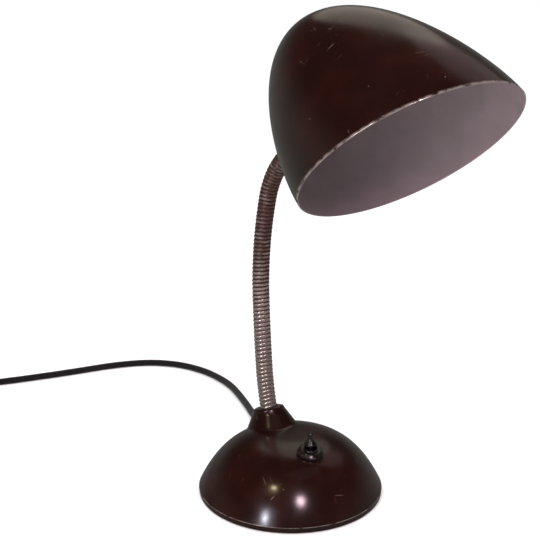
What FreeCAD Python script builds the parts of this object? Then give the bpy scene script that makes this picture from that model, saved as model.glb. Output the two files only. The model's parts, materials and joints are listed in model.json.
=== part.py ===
import FreeCAD, Part
import math
import os

# Gooseneck desk lamp. Millimetres, +Z up, origin at the middle of the underside of the base,
# front of the lamp towards -Y. The collar, the neck and the head are turned by HEAD_TURN about a
# line through TURN_Y, TURN_Z that leans back by TURN_LEAN.

V = FreeCAD.Vector
X_AXIS, Z_AXIS = V(1, 0, 0), V(0, 0, 1)
CUT_PAST = 1.0
SLIP = 0.05

# Base: a pressed steel dome, z = BAND_TOP + rise * (1 - (r / BASE_RADIUS) ** DOME_POWER)
BASE_RADIUS = 75.0
BAND_TOP = 5.0
DOME_TOP = 47.6
DOME_POWER = 3.6
SHELL_WALL = 1.5
SHELL_FOOT = 0.8
FELT_THICK = 1.6
FELT_RADIUS = 70.0
PLATE_THICK = 1.4
SEAT_GAP = 0.3
BALLAST_BOTTOM_GAP = 0.4
BALLAST_THICK = 9.0
BALLAST_EDGE = 6.5
BALLAST_CHAMFER = 2.0
BALLAST_CHANNEL = 26.0

# Screws that hold the plate and the ballast up to bosses in the dome
BOSS_CIRCLE = 54.0
BOSS_RADIUS = 5.0
BOSS_ANGLES = (30.0, 150.0, 270.0)
SCREW_RADIUS = 2.0
SCREW_HEAD_RADIUS = 4.0
SCREW_HEAD_THICK = 1.2
SCREW_REACH = 10.0
SCREW_SLOT = 1.0

# Collar at the back of the dome, square to the dome where its axis meets it
COLLAR_TOP_Y = 39.6
COLLAR_TOP_Z = 57.6
COLLAR_LEAN = 17.1
COLLAR_TOP_RADIUS = 11.8
COLLAR_FOOT_RADIUS = 23.8
COLLAR_DEPTH = 21.0
COLLAR_ROUND = 2.4
COLLAR_FILLET = 4.5
COLLAR_SEAT_RADIUS = 13.6
COLLAR_BORE_DEPTH = 12.0
COLLAR_FLOOR = 5.0

# Neck: metal spiral hose. Each run is a length and the turn towards the front, in degrees.
NECK_RADIUS = 7.25
NECK_BORE_RADIUS = 4.4
NECK_RUNS = ((35.0, 8.5), (60.0, 3.3), (85.0, 17.2), (32.3, 29.1), (31.3, 19.1))
SEGMENTS = 12
RIBS = 6
RIB_DEPTH = 0.8
CROWN_SHARE = 0.3
BORE_STEPS = 5
NECK_GAP = 1.6
HEAD_TURN = 13.0
TURN_Y = 35.0
TURN_Z = 46.0
TURN_LEAN = 10.0
FERRULE_WALL = 0.8
FERRULE_GRIP = 6.0
FERRULE_GAP = 0.3
NECK_END_GAP = 0.3
FERRULE_FLOOR = 2.0
NIPPLE_RADIUS = 5.0
NIPPLE_BORE = 3.4
NIPPLE_PAST_NUT = 3.0
NUT_ACROSS = 17.0
NUT_THICK = 4.5
WASHER_THICK = 1.5
WASHER_RADIUS = 9.5

# Shade: a dome whose sections are parallel to its opening and step back as they rise
SHADE_RADIUS = 85.4
SHADE_DEPTH = 135.2
SHADE_SHIFT = 30.1
SHADE_POWER = 1.518
SHADE_ROUNDNESS = 2.056
SHADE_WALL = 0.9
SEAT_DEPTH = 67.6
SEAT_STAND_OFF = 10.0
SEAT_RADIUS = 12.5
SHADE_HOLE_GAP = 0.3
SEAT_FLANGE = 2.0
SEAT_CONE = 3.0
FIBRE_THICK = 2.0
INNER_WASHER_RADIUS = 10.5
INNER_WASHER_TOP = 3.5

# Lamp holder and bulb, measured along the axis of the end of the neck
HOLDER_START = 20.0
HOLDER_CAP_LENGTH = 13.0
HOLDER_SHELL_LENGTH = 20.0
HOLDER_RADIUS = 14.5
HOLDER_WALL = 1.6
SOCKET_RADIUS = 7.4
SOCKET_WALL = 0.4
BULB_CAP_RADIUS = 6.9
BULB_CAP_LENGTH = 20.0
BULB_RADIUS = 15.0
BULB_NECK = 3.0
BULB_JOIN_ANGLE = 40.0
GLASS_WALL = 0.8
CAP_WALL = 0.6
CAP_CONTACT_RADIUS = 1.9
CAP_TIP_RADIUS = 3.5
CAP_TIP_LENGTH = 3.0
CAP_HOLE_RADIUS = 2.0
CAP_CONTACT_OUT = 0.6
CAP_CONTACT_LENGTH = 2.1
HOLDER_SHOULDER = 4.0
HOLDER_SHOULDER_LENGTH = 5.0
HOLDER_ROOF = 2.0
INSERT_THICK = 8.0
INSERT_SINK = 4.0
INSERT_POCKET = 3.0
TERMINAL_OUT = 7.5
TERMINAL_LENGTH = 4.0
TERMINAL_WIDTH = 7.0
TERMINAL_GAP = 0.2
SOCKET_SINK = 2.0
SOCKET_LENGTH = 17.0
CONTACT_STEM = 1.1
CONTACT_HOLE = 1.2
CONTACT_DISC = 3.0
CONTACT_THICK = 0.6
CONTACT_LENGTH = 5.0
BULB_LIFT = 1.4
FILAMENT_WIRE = 0.4
FILAMENT_HALF = 6.0
FILAMENT_RISE = 18.0
STEM_RADIUS = 1.5
STEM_RISE = 16.0

# Toggle switch on the front of the dome, measured along the normal of the dome
SWITCH_Y = -34.0
SWITCH_PAD_RADIUS = 11.0
SWITCH_PAD_TOP = 0.5
SWITCH_BUSH_RADIUS = 5.95
SWITCH_BUSH_TOP = 7.2
SWITCH_BORE = 4.6
SWITCH_DEPTH = 4.0
RING_NUT_RADIUS = 10.3
RING_NUT_THICK = 3.6
KNURLS = 36
KNURL_WIDTH = 0.9
NUT_CONE_FOOT = 9.3
NUT_CONE_TOP = 7.6
NUT_CONE = 1.6
BUSH_FLANGE = 1.5
PIVOT_RADIUS = 1.0
BALL_RADIUS = 3.4
TAIL_RADIUS = 1.3
LEVER_PIVOT = 2.0
LEVER_TOP = 19.6
LEVER_RADIUS = 2.2
LEVER_THROW = 14.0
LEVER_TAIL = 13.0
SKIRT_RADIUS = 5.2
SKIRT_BOTTOM = 9.5
SKIRT_TOP = 13.6
BODY_LENGTH = 22.0
BODY_WIDTH = 19.0
BODY_DEPTH = 22.0
BODY_WALL = 1.8
ROCKER_PIVOT = -19.0
ROCKER_HEIGHT = 9.6
ROCKER_RATIO = 1.46
CONTACT_BLADE = 4.0
ROCKER_PIN_RADIUS = 0.8
SWITCH_FLOOR = 2.5
FLOOR_GAP = 0.1
BLADE_LENGTH = 3.0
BLADE_THICK = 1.2
BLADE_OUT = 4.0
BLADE_GAP = 0.1
BLADE_TOP = 3.4
FORK_LENGTH = 6.0
FORK_WIDTH = 7.6
FORK_SLOT = 5.2
FORK_FLOOR = 2.4
TOE_WIDTH = 10.0
TOE_DROP = 3.2

# Mains cord, from a bushing at the back of the base. The exit is turned from +Y towards +X.
CORD_RADIUS = 3.2
CORD_EXIT_Z = 10.0
CORD_EXIT_TURN = 13.3
CORD_STRAIGHT = 14.0
CORD_START_RADIUS = 41.0
BUSHING_RADIUS = 6.0
BUSHING_TIP = 98.0
BUSHING_TIP_RADIUS = 4.3
BUSHING_INSIDE = 14.0
BUSHING_FLANGE = 0.8
BUSHING_FLANGE_THICK = 2.5
BUSHING_OUT = 2.0
CORD_ROUTE = (
    (30, 127.5, 5.6), (34, 146, 3.2), (38, 168, 3.2), (41.5, 193, 3.2), (44, 219, 3.2),
    (41, 245, 3.2), (34, 270, 3.2), (18, 297, 3.2), (-9, 317, 3.2), (-46, 325, 3.2),
    (-88, 325, 3.2), (-130, 327, 3.2), (-172, 331, 3.2), (-214, 332, 3.2))
CLAMP_RADIUS = 49.0
CLAMP_LENGTH = 20.0
CLAMP_WIDTH = 7.0
CLAMP_ROOF = 1.6
CLAMP_SCREW_OUT = 7.0
CLAMP_SCREW_RADIUS = 1.2
CLAMP_SCREW_HEAD = 2.4
CLAMP_SCREW_HEAD_THICK = 1.6
BLOCK_X = -26.0
BLOCK_Y = 6.0
BLOCK_LENGTH = 22.0
BLOCK_WIDTH = 12.0
BLOCK_HEIGHT = 9.0
BLOCK_SCREW_OUT = 5.5
BLOCK_SCREW_RADIUS = 1.9
BLOCK_SCREW_GAP = 0.1
BLOCK_SCREW_FOOT = 5.0
BLOCK_SCREW_TOP = 8.4
COIL_CENTRE = (-220.0, 300.0)
COIL_INNER = 22.0
COIL_OUTER = 42.0
COIL_HEIGHT = 12.8
COIL_ROUND = 2.56
TAIL_ROUTE = ((-252, 300, 9.6), (-252, 286, 9.6), (-255, 268, 13), (-258, 250, 17), (-258, 236, 17))
TIE_THICK = 1.0
TIE_WIDTH = 7.0
TIE_ANGLE = 315.0
PLUG_RADIUS = 17.0
PLUG_LENGTH = 26.0
PLUG_SNOUT = 14.0
PIN_RADIUS = 2.4
PIN_LENGTH = 19.0
PIN_SPACING = 19.0
PIN_SINK = 12.0
PIN_ROUND = 1.2
PLUG_ROUND = 2.5
SNOUT_WALL = 2.0
SNOUT_TOP_RADIUS = 10.2
PLUG_SCREW_RADIUS = 1.5
PLUG_SCREW_GAP = 0.1
PLUG_SCREW_DEPTH = 10.0
PLUG_SCREW_SINK = 0.5
PLUG_SLOT = 0.6
PLUG_SLOT_DEPTH = 0.7


def cylinder(radius, bottom, top):
    return Part.makeCylinder(radius, top - bottom, V(0, 0, bottom))


def tube(outer, inner, bottom, top):
    return cylinder(outer, bottom, top).cut(cylinder(inner, bottom, top))


def cone(low_radius, high_radius, bottom, top):
    return Part.makeCone(low_radius, high_radius, top - bottom, V(0, 0, bottom))


def box(length, width, bottom, top, x=0.0, y=0.0):
    return Part.makeBox(length, width, top - bottom, V(x - length / 2, y - width / 2, bottom))


def hexagon(across, bottom, top):
    corner = across / math.sqrt(3)
    points = [V(corner * math.cos(math.radians(a)), corner * math.sin(math.radians(a)), bottom)
              for a in range(0, 420, 60)]
    return Part.Face(Part.makePolygon(points)).extrude(V(0, 0, top - bottom))


def revolved(edges):
    wire = Part.Wire(Part.__sortEdges__(edges))
    return Part.Face(wire).revolve(V(0, 0, 0), Z_AXIS, 360)


def line(start, end):
    return Part.LineSegment(V(start[0], 0, start[1]), V(end[0], 0, end[1])).toShape()


def curve(points, first_way, last_way):
    spline = Part.BSplineCurve()
    spline.interpolate(Points=[V(r, 0, z) for r, z in points],
                       InitialTangent=V(first_way[0], 0, first_way[1]),
                       FinalTangent=V(last_way[0], 0, last_way[1]))
    return spline.toShape()


def leaned(shape, y, z, lean):
    """A shape made on +Z, its axis leaned towards the back by lean degrees, its origin at y, z."""
    moved = shape.copy()
    moved.rotate(V(0, 0, 0), X_AXIS, -lean)
    moved.translate(V(0, y, z))
    return moved


def turned(shape):
    """Turn a shape from the mirror plane to the plane of the neck."""
    moved = shape.copy()
    lean = math.radians(TURN_LEAN)
    moved.rotate(V(0, TURN_Y, TURN_Z), V(0, math.sin(lean), math.cos(lean)), HEAD_TURN)
    return moved


def across(radius, half, z):
    """A cylinder along X, centred on the mirror plane, at height z."""
    return Part.makeCylinder(radius, 2 * half, V(-half, 0, z), X_AXIS)


def cylinder_at(radius, x, y, bottom, top):
    return Part.makeCylinder(radius, top - bottom, V(x, y, bottom))


# ---------------------------------------------------------------- base


def dome_height(radius, edge, foot, top):
    return foot + (top - foot) * (1 - (radius / edge) ** DOME_POWER)


def dome_slope(radius):
    share = (radius / BASE_RADIUS) ** (DOME_POWER - 1)
    return -DOME_POWER * (DOME_TOP - BAND_TOP) / BASE_RADIUS * share


def dome_solid(edge, foot, top, bottom):
    """The solid under the dome curve, closed below by a flat face at bottom."""
    steps = 9
    radii = [edge * math.sin(math.pi / 2 * k / steps) for k in range(steps + 1)]
    points = [(r, dome_height(r, edge, foot, top)) for r in radii]
    slope = -DOME_POWER * (top - foot) / edge
    return revolved([curve(points, (1, 0), (1, slope)), line((edge, foot), (edge, bottom)),
                     line((edge, bottom), (0, bottom)), line((0, bottom), (0, top))])


def on_collar(shape):
    """Collar frame: its origin is at the middle of the collar's top face, +Z along the neck."""
    return turned(leaned(shape, COLLAR_TOP_Y, COLLAR_TOP_Z, COLLAR_LEAN))


def switch_lean():
    return -math.degrees(math.atan(-dome_slope(abs(SWITCH_Y))))


def on_switch(shape):
    """Switch frame: its origin is on the dome, +Z along the dome's normal."""
    height = dome_height(abs(SWITCH_Y), BASE_RADIUS, BAND_TOP, DOME_TOP)
    return leaned(shape, SWITCH_Y, height, switch_lean())


def around_base(shape, angle, radius=BOSS_CIRCLE):
    moved = shape.copy()
    moved.translate(V(radius, 0, 0))
    moved.rotate(V(0, 0, 0), Z_AXIS, angle)
    return moved


def plate_bottom():
    return FELT_THICK


def plate_top():
    return plate_bottom() + PLATE_THICK


def ballast_bottom():
    return plate_top() + BALLAST_BOTTOM_GAP


def ballast_top():
    return ballast_bottom() + BALLAST_THICK


def at_exit(shape, radius=0.0):
    """Turn a shape made about +Y to the side where the cord leaves the base."""
    moved = shape.copy()
    moved.translate(V(0, radius, 0))
    moved.rotate(V(0, 0, 0), Z_AXIS, -CORD_EXIT_TURN)
    return moved


def along_exit(shape):
    """Lay a shape made on +Z along the cord where it leaves the base."""
    return at_exit(leaned(shape, 0, CORD_EXIT_Z, 90))


def seat_bottom():
    return -(COLLAR_BORE_DEPTH + COLLAR_FLOOR)


def base_shell():
    outer = dome_solid(BASE_RADIUS, BAND_TOP, DOME_TOP, SHELL_FOOT)
    room_foot = BAND_TOP - SHELL_WALL / 2
    inner = dome_solid(BASE_RADIUS - SHELL_WALL, room_foot, DOME_TOP - SHELL_WALL, SHELL_FOOT)
    body = outer.fuse(on_collar(cone(COLLAR_FOOT_RADIUS, COLLAR_TOP_RADIUS, -COLLAR_DEPTH, 0)))
    body = body.makeFillet(COLLAR_FILLET, [e for e in body.Edges if is_collar_foot(e)])
    body = body.makeFillet(COLLAR_ROUND, [e for e in body.Edges if is_collar_rim(e)])
    seat = on_collar(cylinder(COLLAR_SEAT_RADIUS, seat_bottom(), 0)).common(body)
    shell = body.cut(inner).fuse(seat)
    shell = shell.fuse(on_switch(cylinder(SWITCH_PAD_RADIUS, -SWITCH_DEPTH, SWITCH_PAD_TOP)))
    for angle in BOSS_ANGLES:
        boss = around_base(cylinder(BOSS_RADIUS, ballast_top(), DOME_TOP), angle)
        shell = shell.fuse(boss.common(outer))
    shell = shell.cut(on_collar(cylinder(ferrule_radius() + SLIP, -COLLAR_BORE_DEPTH, CUT_PAST)))
    shell = shell.cut(on_collar(cylinder(NIPPLE_RADIUS + SLIP, seat_bottom() - CUT_PAST, 0)))
    bush_hole = cylinder(SWITCH_BUSH_RADIUS + SLIP, -SWITCH_DEPTH - CUT_PAST, SWITCH_PAD_TOP + CUT_PAST)
    shell = shell.cut(on_switch(bush_hole))
    for angle in BOSS_ANGLES:
        shell = shell.cut(around_base(cylinder(SCREW_RADIUS, 0, ballast_top() + SCREW_REACH), angle))
    shell = shell.cut(along_exit(cylinder(BUSHING_RADIUS + SLIP, BASE_RADIUS / 2, BASE_RADIUS + CUT_PAST)))
    return shell.removeSplitter()


def ferrule_radius():
    return NECK_RADIUS + SLIP + FERRULE_WALL


def is_collar_foot(edge):
    middle = edge.CenterOfMass
    near = math.hypot(middle.x, middle.y - COLLAR_TOP_Y) < COLLAR_FOOT_RADIUS
    low = edge.BoundBox.ZMax < DOME_TOP + CUT_PAST
    return near and low and edge.Length > math.pi * COLLAR_FOOT_RADIUS


def is_collar_rim(edge):
    place = on_collar(Part.Vertex(0, 0, 0)).Point
    return (edge.CenterOfMass - place).Length < COLLAR_ROUND / 2


def base_plate():
    plate = cylinder(BASE_RADIUS - SHELL_WALL - SEAT_GAP, plate_bottom(), plate_top())
    for angle in BOSS_ANGLES:
        plate = plate.cut(around_base(cylinder(SCREW_RADIUS + SEAT_GAP, 0, plate_top()), angle))
    return plate


def felt_pad():
    pad = cylinder(FELT_RADIUS, 0, FELT_THICK)
    for angle in BOSS_ANGLES:
        pad = pad.cut(around_base(cylinder(SCREW_HEAD_RADIUS + SEAT_GAP, 0, FELT_THICK), angle))
    return pad


def plate_screws():
    head = cylinder(SCREW_HEAD_RADIUS, FELT_THICK - SCREW_HEAD_THICK, FELT_THICK)
    slot = box(2 * SCREW_HEAD_RADIUS, SCREW_SLOT, 0, FELT_THICK - SCREW_HEAD_THICK / 2)
    shank = cylinder(SCREW_RADIUS - SLIP, FELT_THICK, ballast_top() + SCREW_REACH - CUT_PAST)
    screw = head.cut(slot).fuse(shank)
    return Part.makeCompound([around_base(screw, angle) for angle in BOSS_ANGLES])


def ballast():
    weight = cylinder(BASE_RADIUS - BALLAST_EDGE - SHELL_WALL, ballast_bottom(), ballast_top())
    edges = [e for e in weight.Edges if e.BoundBox.ZMin > ballast_top() - SLIP]
    weight = weight.makeChamfer(BALLAST_CHAMFER, edges)
    for angle in BOSS_ANGLES:
        weight = weight.cut(around_base(cylinder(SCREW_RADIUS + SEAT_GAP, 0, DOME_TOP), angle))
    channel = box(BALLAST_CHANNEL, BASE_RADIUS, 0, DOME_TOP)
    return weight.cut(at_exit(channel, CLAMP_RADIUS - 2 * CLAMP_WIDTH + BASE_RADIUS / 2))


def neck_washer():
    top = seat_bottom()
    return on_collar(tube(WASHER_RADIUS, NIPPLE_RADIUS + SLIP, top - WASHER_THICK, top))


def neck_locknut():
    top = seat_bottom() - WASHER_THICK
    nut = hexagon(NUT_ACROSS, top - NUT_THICK, top)
    return on_collar(nut.cut(cylinder(NIPPLE_RADIUS + SLIP, top - NUT_THICK, top)))


def neck_lower_ferrule():
    floor = -COLLAR_BORE_DEPTH
    cup = cylinder(ferrule_radius(), floor, -CUT_PAST)
    cup = cup.cut(cylinder(NECK_RADIUS + SLIP, floor + FERRULE_FLOOR, 0))
    nipple_end = seat_bottom() - WASHER_THICK - NUT_THICK - NIPPLE_PAST_NUT
    nipple = cylinder(NIPPLE_RADIUS, nipple_end, floor)
    return on_collar(cup.fuse(nipple).cut(cylinder(NIPPLE_BORE, nipple_end, 0)))


# ---------------------------------------------------------------- neck


def neck_length():
    return sum(length for length, turn in NECK_RUNS)


def neck_place(distance):
    """Place y, z and lean of the neck's centreline, in the plane of the head, at a distance
    above the collar. Each run is an arc, and the line goes on straight past both ends."""
    y, z, lean = COLLAR_TOP_Y, COLLAR_TOP_Z, COLLAR_LEAN
    left = distance
    for length, turn in NECK_RUNS:
        part = min(max(left, 0), length)
        bend = turn * part / length
        chord = part * sinc(math.radians(bend) / 2)
        way = math.radians(lean - bend / 2)
        y += chord * math.sin(way)
        z += chord * math.cos(way)
        lean -= bend
        left -= part
    y += left * math.sin(math.radians(lean))
    z += left * math.cos(math.radians(lean))
    return y, z, lean


def sinc(angle):
    return math.sin(angle) / angle if abs(angle) > 1e-9 else 1.0


def on_neck(shape, distance):
    y, z, lean = neck_place(distance)
    return turned(leaned(shape, y, z, lean))


def neck_ring(radius, distance):
    return on_neck(Part.Wire(Part.makeCircle(radius)), distance)


def neck_loft(stations):
    """A solid through circles square to the neck's centreline, given as (radius, distance)."""
    return Part.makeLoft([neck_ring(radius, distance) for radius, distance in stations], True, True)


def neck_segment(index):
    """Segment number index, counted from 0 at the collar, with half a gap at each joint.
    Each turn of the spiral is a short barrel with a flat crown."""
    length = neck_length() / SEGMENTS
    start = index * length + (NECK_GAP / 2 if index > 0 else 0)
    end = (index + 1) * length - (NECK_GAP / 2 if index < SEGMENTS - 1 else 0)
    pitch = (end - start) / RIBS
    groove = NECK_RADIUS - RIB_DEPTH
    stations = []
    if index == 0:
        foot = FERRULE_FLOOR - COLLAR_BORE_DEPTH
        stations += [(NECK_RADIUS, foot), (NECK_RADIUS, start - CROWN_SHARE * pitch)]
    for k in range(RIBS):
        low = start + k * pitch
        stations += [(groove, low), (NECK_RADIUS, low + CROWN_SHARE * pitch),
                     (NECK_RADIUS, low + pitch - CROWN_SHARE * pitch)]
    stations.append((groove, end))
    first = stations[0][1]
    bore = [(NECK_BORE_RADIUS, first + (end - first) * k / BORE_STEPS) for k in range(-1, BORE_STEPS + 2)]
    return neck_loft(stations).cut(neck_loft(bore))


def joint_distance(index):
    return index * neck_length() / SEGMENTS


# ---------------------------------------------------------------- head


def on_head(shape):
    """Head frame: its origin is at the end of the neck, +Z along the end of the neck."""
    return on_neck(shape, neck_length())


def shade_radius_at(share, edge):
    return edge * (1 - share ** SHADE_POWER) ** (1 / SHADE_ROUNDNESS)


def shade_seat():
    """In the shade's frame, the place of the seat on the back wall and the lean of its normal."""
    share = SEAT_DEPTH / SHADE_DEPTH
    back = SHADE_SHIFT * share + shade_radius_at(share, SHADE_RADIUS)
    step = 1e-4
    ahead = SHADE_SHIFT * (share + step) + shade_radius_at(share + step, SHADE_RADIUS)
    slope = (ahead - back) / (step * SHADE_DEPTH)
    return back, SEAT_DEPTH, math.degrees(math.atan(slope))


def shade_solid(edge, depth):
    """The dome's solid in the shade's frame: opening at z = 0, top up, back towards +Y."""
    steps = 12
    shares = [math.sin(math.pi / 2 * k / steps) ** 1.5 for k in range(steps)] + [1.0]
    points = [(shade_radius_at(s, edge), depth * s) for s in shares]
    body = revolved([curve(points, (0, 1), (-1, 0)), line((0, depth), (0, 0)), line((0, 0), (edge, 0))])
    shear = FreeCAD.Matrix()
    shear.A23 = SHADE_SHIFT / SHADE_DEPTH
    return body.transformGeometry(shear)


def on_shade(shape):
    """Place a shape of the shade's frame so that the seat's normal runs along the head's axis."""
    back, depth, slope = shade_seat()
    moved = shape.copy()
    moved.translate(V(0, -back, -depth))
    moved.rotate(V(0, 0, 0), X_AXIS, slope - 90)
    moved.translate(V(0, 0, SEAT_STAND_OFF))
    return on_head(moved)


def shade():
    outer = on_shade(shade_solid(SHADE_RADIUS, SHADE_DEPTH))
    inner = on_shade(shade_solid(SHADE_RADIUS - SHADE_WALL, SHADE_DEPTH - SHADE_WALL))
    hole = on_head(cylinder(NIPPLE_RADIUS + SHADE_HOLE_GAP, 0, SEAT_STAND_OFF * 2))
    return outer.cut(inner).cut(hole)


def neck_upper_ferrule():
    outer = NECK_RADIUS + FERRULE_GAP + FERRULE_WALL
    top = SEAT_STAND_OFF - FIBRE_THICK
    low = top - SEAT_FLANGE
    body = cylinder(outer, -FERRULE_GRIP, low).fuse(cone(outer, SEAT_RADIUS, low - SEAT_CONE, low))
    body = body.fuse(cylinder(SEAT_RADIUS, low, top))
    body = body.cut(cylinder(NECK_RADIUS + FERRULE_GAP, -2 * FERRULE_GRIP, NECK_END_GAP))
    return on_head(body.cut(cylinder(NIPPLE_RADIUS + SLIP, 0, SEAT_STAND_OFF)))


def seat_washer():
    """Fibre washer whose outer face follows the shade."""
    bottom = SEAT_STAND_OFF - FIBRE_THICK
    ring = on_head(tube(SEAT_RADIUS, NIPPLE_RADIUS + SLIP, bottom, bottom + 3 * FIBRE_THICK))
    return ring.cut(on_shade(shade_solid(SHADE_RADIUS, SHADE_DEPTH)))


def inner_washer():
    """Washer inside the shade, domed to lie against its wall."""
    top = SEAT_STAND_OFF + INNER_WASHER_TOP
    ring = on_head(tube(INNER_WASHER_RADIUS, NIPPLE_RADIUS + SLIP, SEAT_STAND_OFF - CUT_PAST, top))
    return ring.common(on_shade(shade_solid(SHADE_RADIUS - SHADE_WALL, SHADE_DEPTH - SHADE_WALL)))


def head_locknut():
    bottom = SEAT_STAND_OFF + INNER_WASHER_TOP
    nut = hexagon(NUT_ACROSS, bottom, bottom + NUT_THICK)
    return on_head(nut.cut(cylinder(NIPPLE_RADIUS + SLIP, bottom, bottom + NUT_THICK)))


def head_nipple():
    top = HOLDER_START + HOLDER_ROOF + HOLDER_SHOULDER
    return on_head(tube(NIPPLE_RADIUS, NIPPLE_BORE, NECK_END_GAP, top))


def holder_cap():
    shoulder = HOLDER_START + HOLDER_SHOULDER_LENGTH
    roof = HOLDER_START + HOLDER_ROOF
    top = HOLDER_START + HOLDER_CAP_LENGTH
    outer = cone(HOLDER_RADIUS - HOLDER_SHOULDER, HOLDER_RADIUS, HOLDER_START, shoulder)
    outer = outer.fuse(cylinder(HOLDER_RADIUS, shoulder, top))
    inner = HOLDER_RADIUS - HOLDER_WALL
    room = cone(inner - HOLDER_SHOULDER, inner, roof, roof + HOLDER_SHOULDER)
    room = room.fuse(cylinder(inner, roof + HOLDER_SHOULDER, top))
    return on_head(outer.cut(room).cut(cylinder(NIPPLE_RADIUS + SLIP, HOLDER_START, top)))


def insert_bottom():
    return HOLDER_START + HOLDER_CAP_LENGTH - INSERT_SINK


def insert_top():
    return insert_bottom() + INSERT_THICK


def holder_insert():
    bottom = insert_bottom()
    block = cylinder(HOLDER_RADIUS - HOLDER_WALL - SLIP, bottom, insert_top())
    for side in (-1, 1):
        pocket = box(TERMINAL_LENGTH, TERMINAL_WIDTH, bottom, bottom + INSERT_POCKET, side * TERMINAL_OUT)
        block = block.cut(pocket)
    block = block.cut(cylinder(SOCKET_RADIUS + SLIP, socket_start(), insert_top()))
    return on_head(block.cut(cylinder(CONTACT_HOLE, bottom, insert_top())))


def socket_start():
    return insert_top() - SOCKET_SINK


def holder_terminals():
    bottom = insert_bottom()
    length = TERMINAL_LENGTH - 2 * TERMINAL_GAP
    width = TERMINAL_WIDTH - 2 * TERMINAL_GAP
    top = bottom + INSERT_POCKET - SLIP
    blocks = [box(length, width, bottom, top, side * TERMINAL_OUT) for side in (-1, 1)]
    return on_head(Part.makeCompound(blocks))


def holder_screw_shell():
    start = socket_start()
    return on_head(tube(SOCKET_RADIUS, SOCKET_RADIUS - SOCKET_WALL, start, start + SOCKET_LENGTH))


def holder_centre_contact():
    start = socket_start()
    stem = cylinder(CONTACT_STEM, start - CONTACT_LENGTH, start)
    return on_head(stem.fuse(cylinder(CONTACT_DISC, start, start + CONTACT_THICK)))


def holder_shell():
    bottom = HOLDER_START + HOLDER_CAP_LENGTH
    top = bottom + HOLDER_SHELL_LENGTH
    body = cylinder(HOLDER_RADIUS, bottom, top)
    body = body.cut(cylinder(HOLDER_RADIUS - HOLDER_WALL, bottom, insert_top() + SLIP))
    return on_head(body.cut(cylinder(SOCKET_RADIUS + SLIP, bottom, top)))


def bulb_start():
    return socket_start() + BULB_LIFT


def bulb_cap():
    bottom = bulb_start()
    shoulder = bottom + CAP_TIP_LENGTH
    top = bottom + BULB_CAP_LENGTH
    body = cone(CAP_TIP_RADIUS, BULB_CAP_RADIUS, bottom, shoulder)
    body = body.fuse(cylinder(BULB_CAP_RADIUS, shoulder, top))
    body = body.cut(cylinder(BULB_CAP_RADIUS - CAP_WALL, shoulder, top))
    return on_head(body.cut(cylinder(CAP_HOLE_RADIUS, bottom, shoulder)))


def bulb_contact():
    bottom = bulb_start() - CAP_CONTACT_OUT
    return on_head(cylinder(CAP_CONTACT_RADIUS, bottom, bottom + CAP_CONTACT_LENGTH))


def glass_start():
    return bulb_start() + BULB_CAP_LENGTH


def bulb_outline(shrink):
    """Round bulb on a short neck, closed at both ends."""
    low = glass_start() + shrink
    neck = BULB_CAP_RADIUS - 2 * SLIP - shrink
    ball = BULB_RADIUS - shrink
    middle = glass_start() + BULB_NECK + BULB_RADIUS
    angle = math.radians(BULB_JOIN_ANGLE)
    join = (ball * math.cos(angle), middle - ball * math.sin(angle))
    arc = Part.Arc(V(join[0], 0, join[1]), V(ball, 0, middle), V(0, 0, middle + ball)).toShape()
    top = (0, middle + ball)
    return revolved([line((0, low), (neck, low)), line((neck, low), join), arc, line(top, (0, low))])


def bulb_glass():
    return on_head(bulb_outline(0).cut(bulb_outline(GLASS_WALL)))


def bulb_filament():
    low = glass_start()
    stem = cylinder(STEM_RADIUS, low + GLASS_WALL, low + STEM_RISE)
    post = cylinder(FILAMENT_WIRE, low + STEM_RISE, low + FILAMENT_RISE)
    return on_head(stem.fuse(post).fuse(across(FILAMENT_WIRE, FILAMENT_HALF, low + FILAMENT_RISE)))


# ---------------------------------------------------------------- switch


def switch_bushing():
    body = cylinder(SWITCH_BUSH_RADIUS, -SWITCH_DEPTH, SWITCH_BUSH_TOP)
    body = body.fuse(cylinder(SWITCH_BUSH_RADIUS + BUSH_FLANGE, switch_body_top(), -SWITCH_DEPTH))
    body = body.cut(cylinder(SWITCH_BORE, switch_body_top(), SWITCH_BUSH_TOP))
    return on_switch(body.cut(across(PIVOT_RADIUS, 2 * SWITCH_BUSH_RADIUS, LEVER_PIVOT)))


def switch_pivot_pin():
    return on_switch(across(PIVOT_RADIUS - SLIP, SWITCH_BUSH_RADIUS - SLIP, LEVER_PIVOT))


def switch_ring_nut():
    bottom = SWITCH_PAD_TOP
    top = bottom + RING_NUT_THICK
    nut = cylinder(RING_NUT_RADIUS, bottom, top)
    groove = box(KNURL_WIDTH, KNURL_WIDTH, bottom, top)
    groove.rotate(V(0, 0, 0), Z_AXIS, 45)
    for k in range(KNURLS):
        nut = nut.cut(around_base(groove, 360 * k / KNURLS, RING_NUT_RADIUS))
    nut = nut.fuse(cone(NUT_CONE_FOOT, NUT_CONE_TOP, top, top + NUT_CONE))
    return on_switch(nut.cut(cylinder(SWITCH_BUSH_RADIUS + SLIP, bottom, SWITCH_BUSH_TOP)))


def lever_at_rest(shape):
    """The lever stands thrown towards the back."""
    moved = shape.copy()
    moved.rotate(V(0, 0, LEVER_PIVOT), X_AXIS, -LEVER_THROW)
    return on_switch(moved)


def switch_lever():
    shoulder = LEVER_TOP - LEVER_RADIUS
    body = Part.makeSphere(BALL_RADIUS, V(0, 0, LEVER_PIVOT))
    body = body.fuse(cylinder(LEVER_RADIUS, LEVER_PIVOT, shoulder))
    body = body.fuse(Part.makeSphere(LEVER_RADIUS, V(0, 0, shoulder)))
    body = body.fuse(cone(SKIRT_RADIUS, LEVER_RADIUS, SKIRT_BOTTOM, SKIRT_TOP))
    body = body.fuse(cylinder(TAIL_RADIUS, LEVER_PIVOT - LEVER_TAIL, LEVER_PIVOT))
    return lever_at_rest(body.cut(across(PIVOT_RADIUS + SLIP, 2 * BALL_RADIUS, LEVER_PIVOT)))


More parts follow.
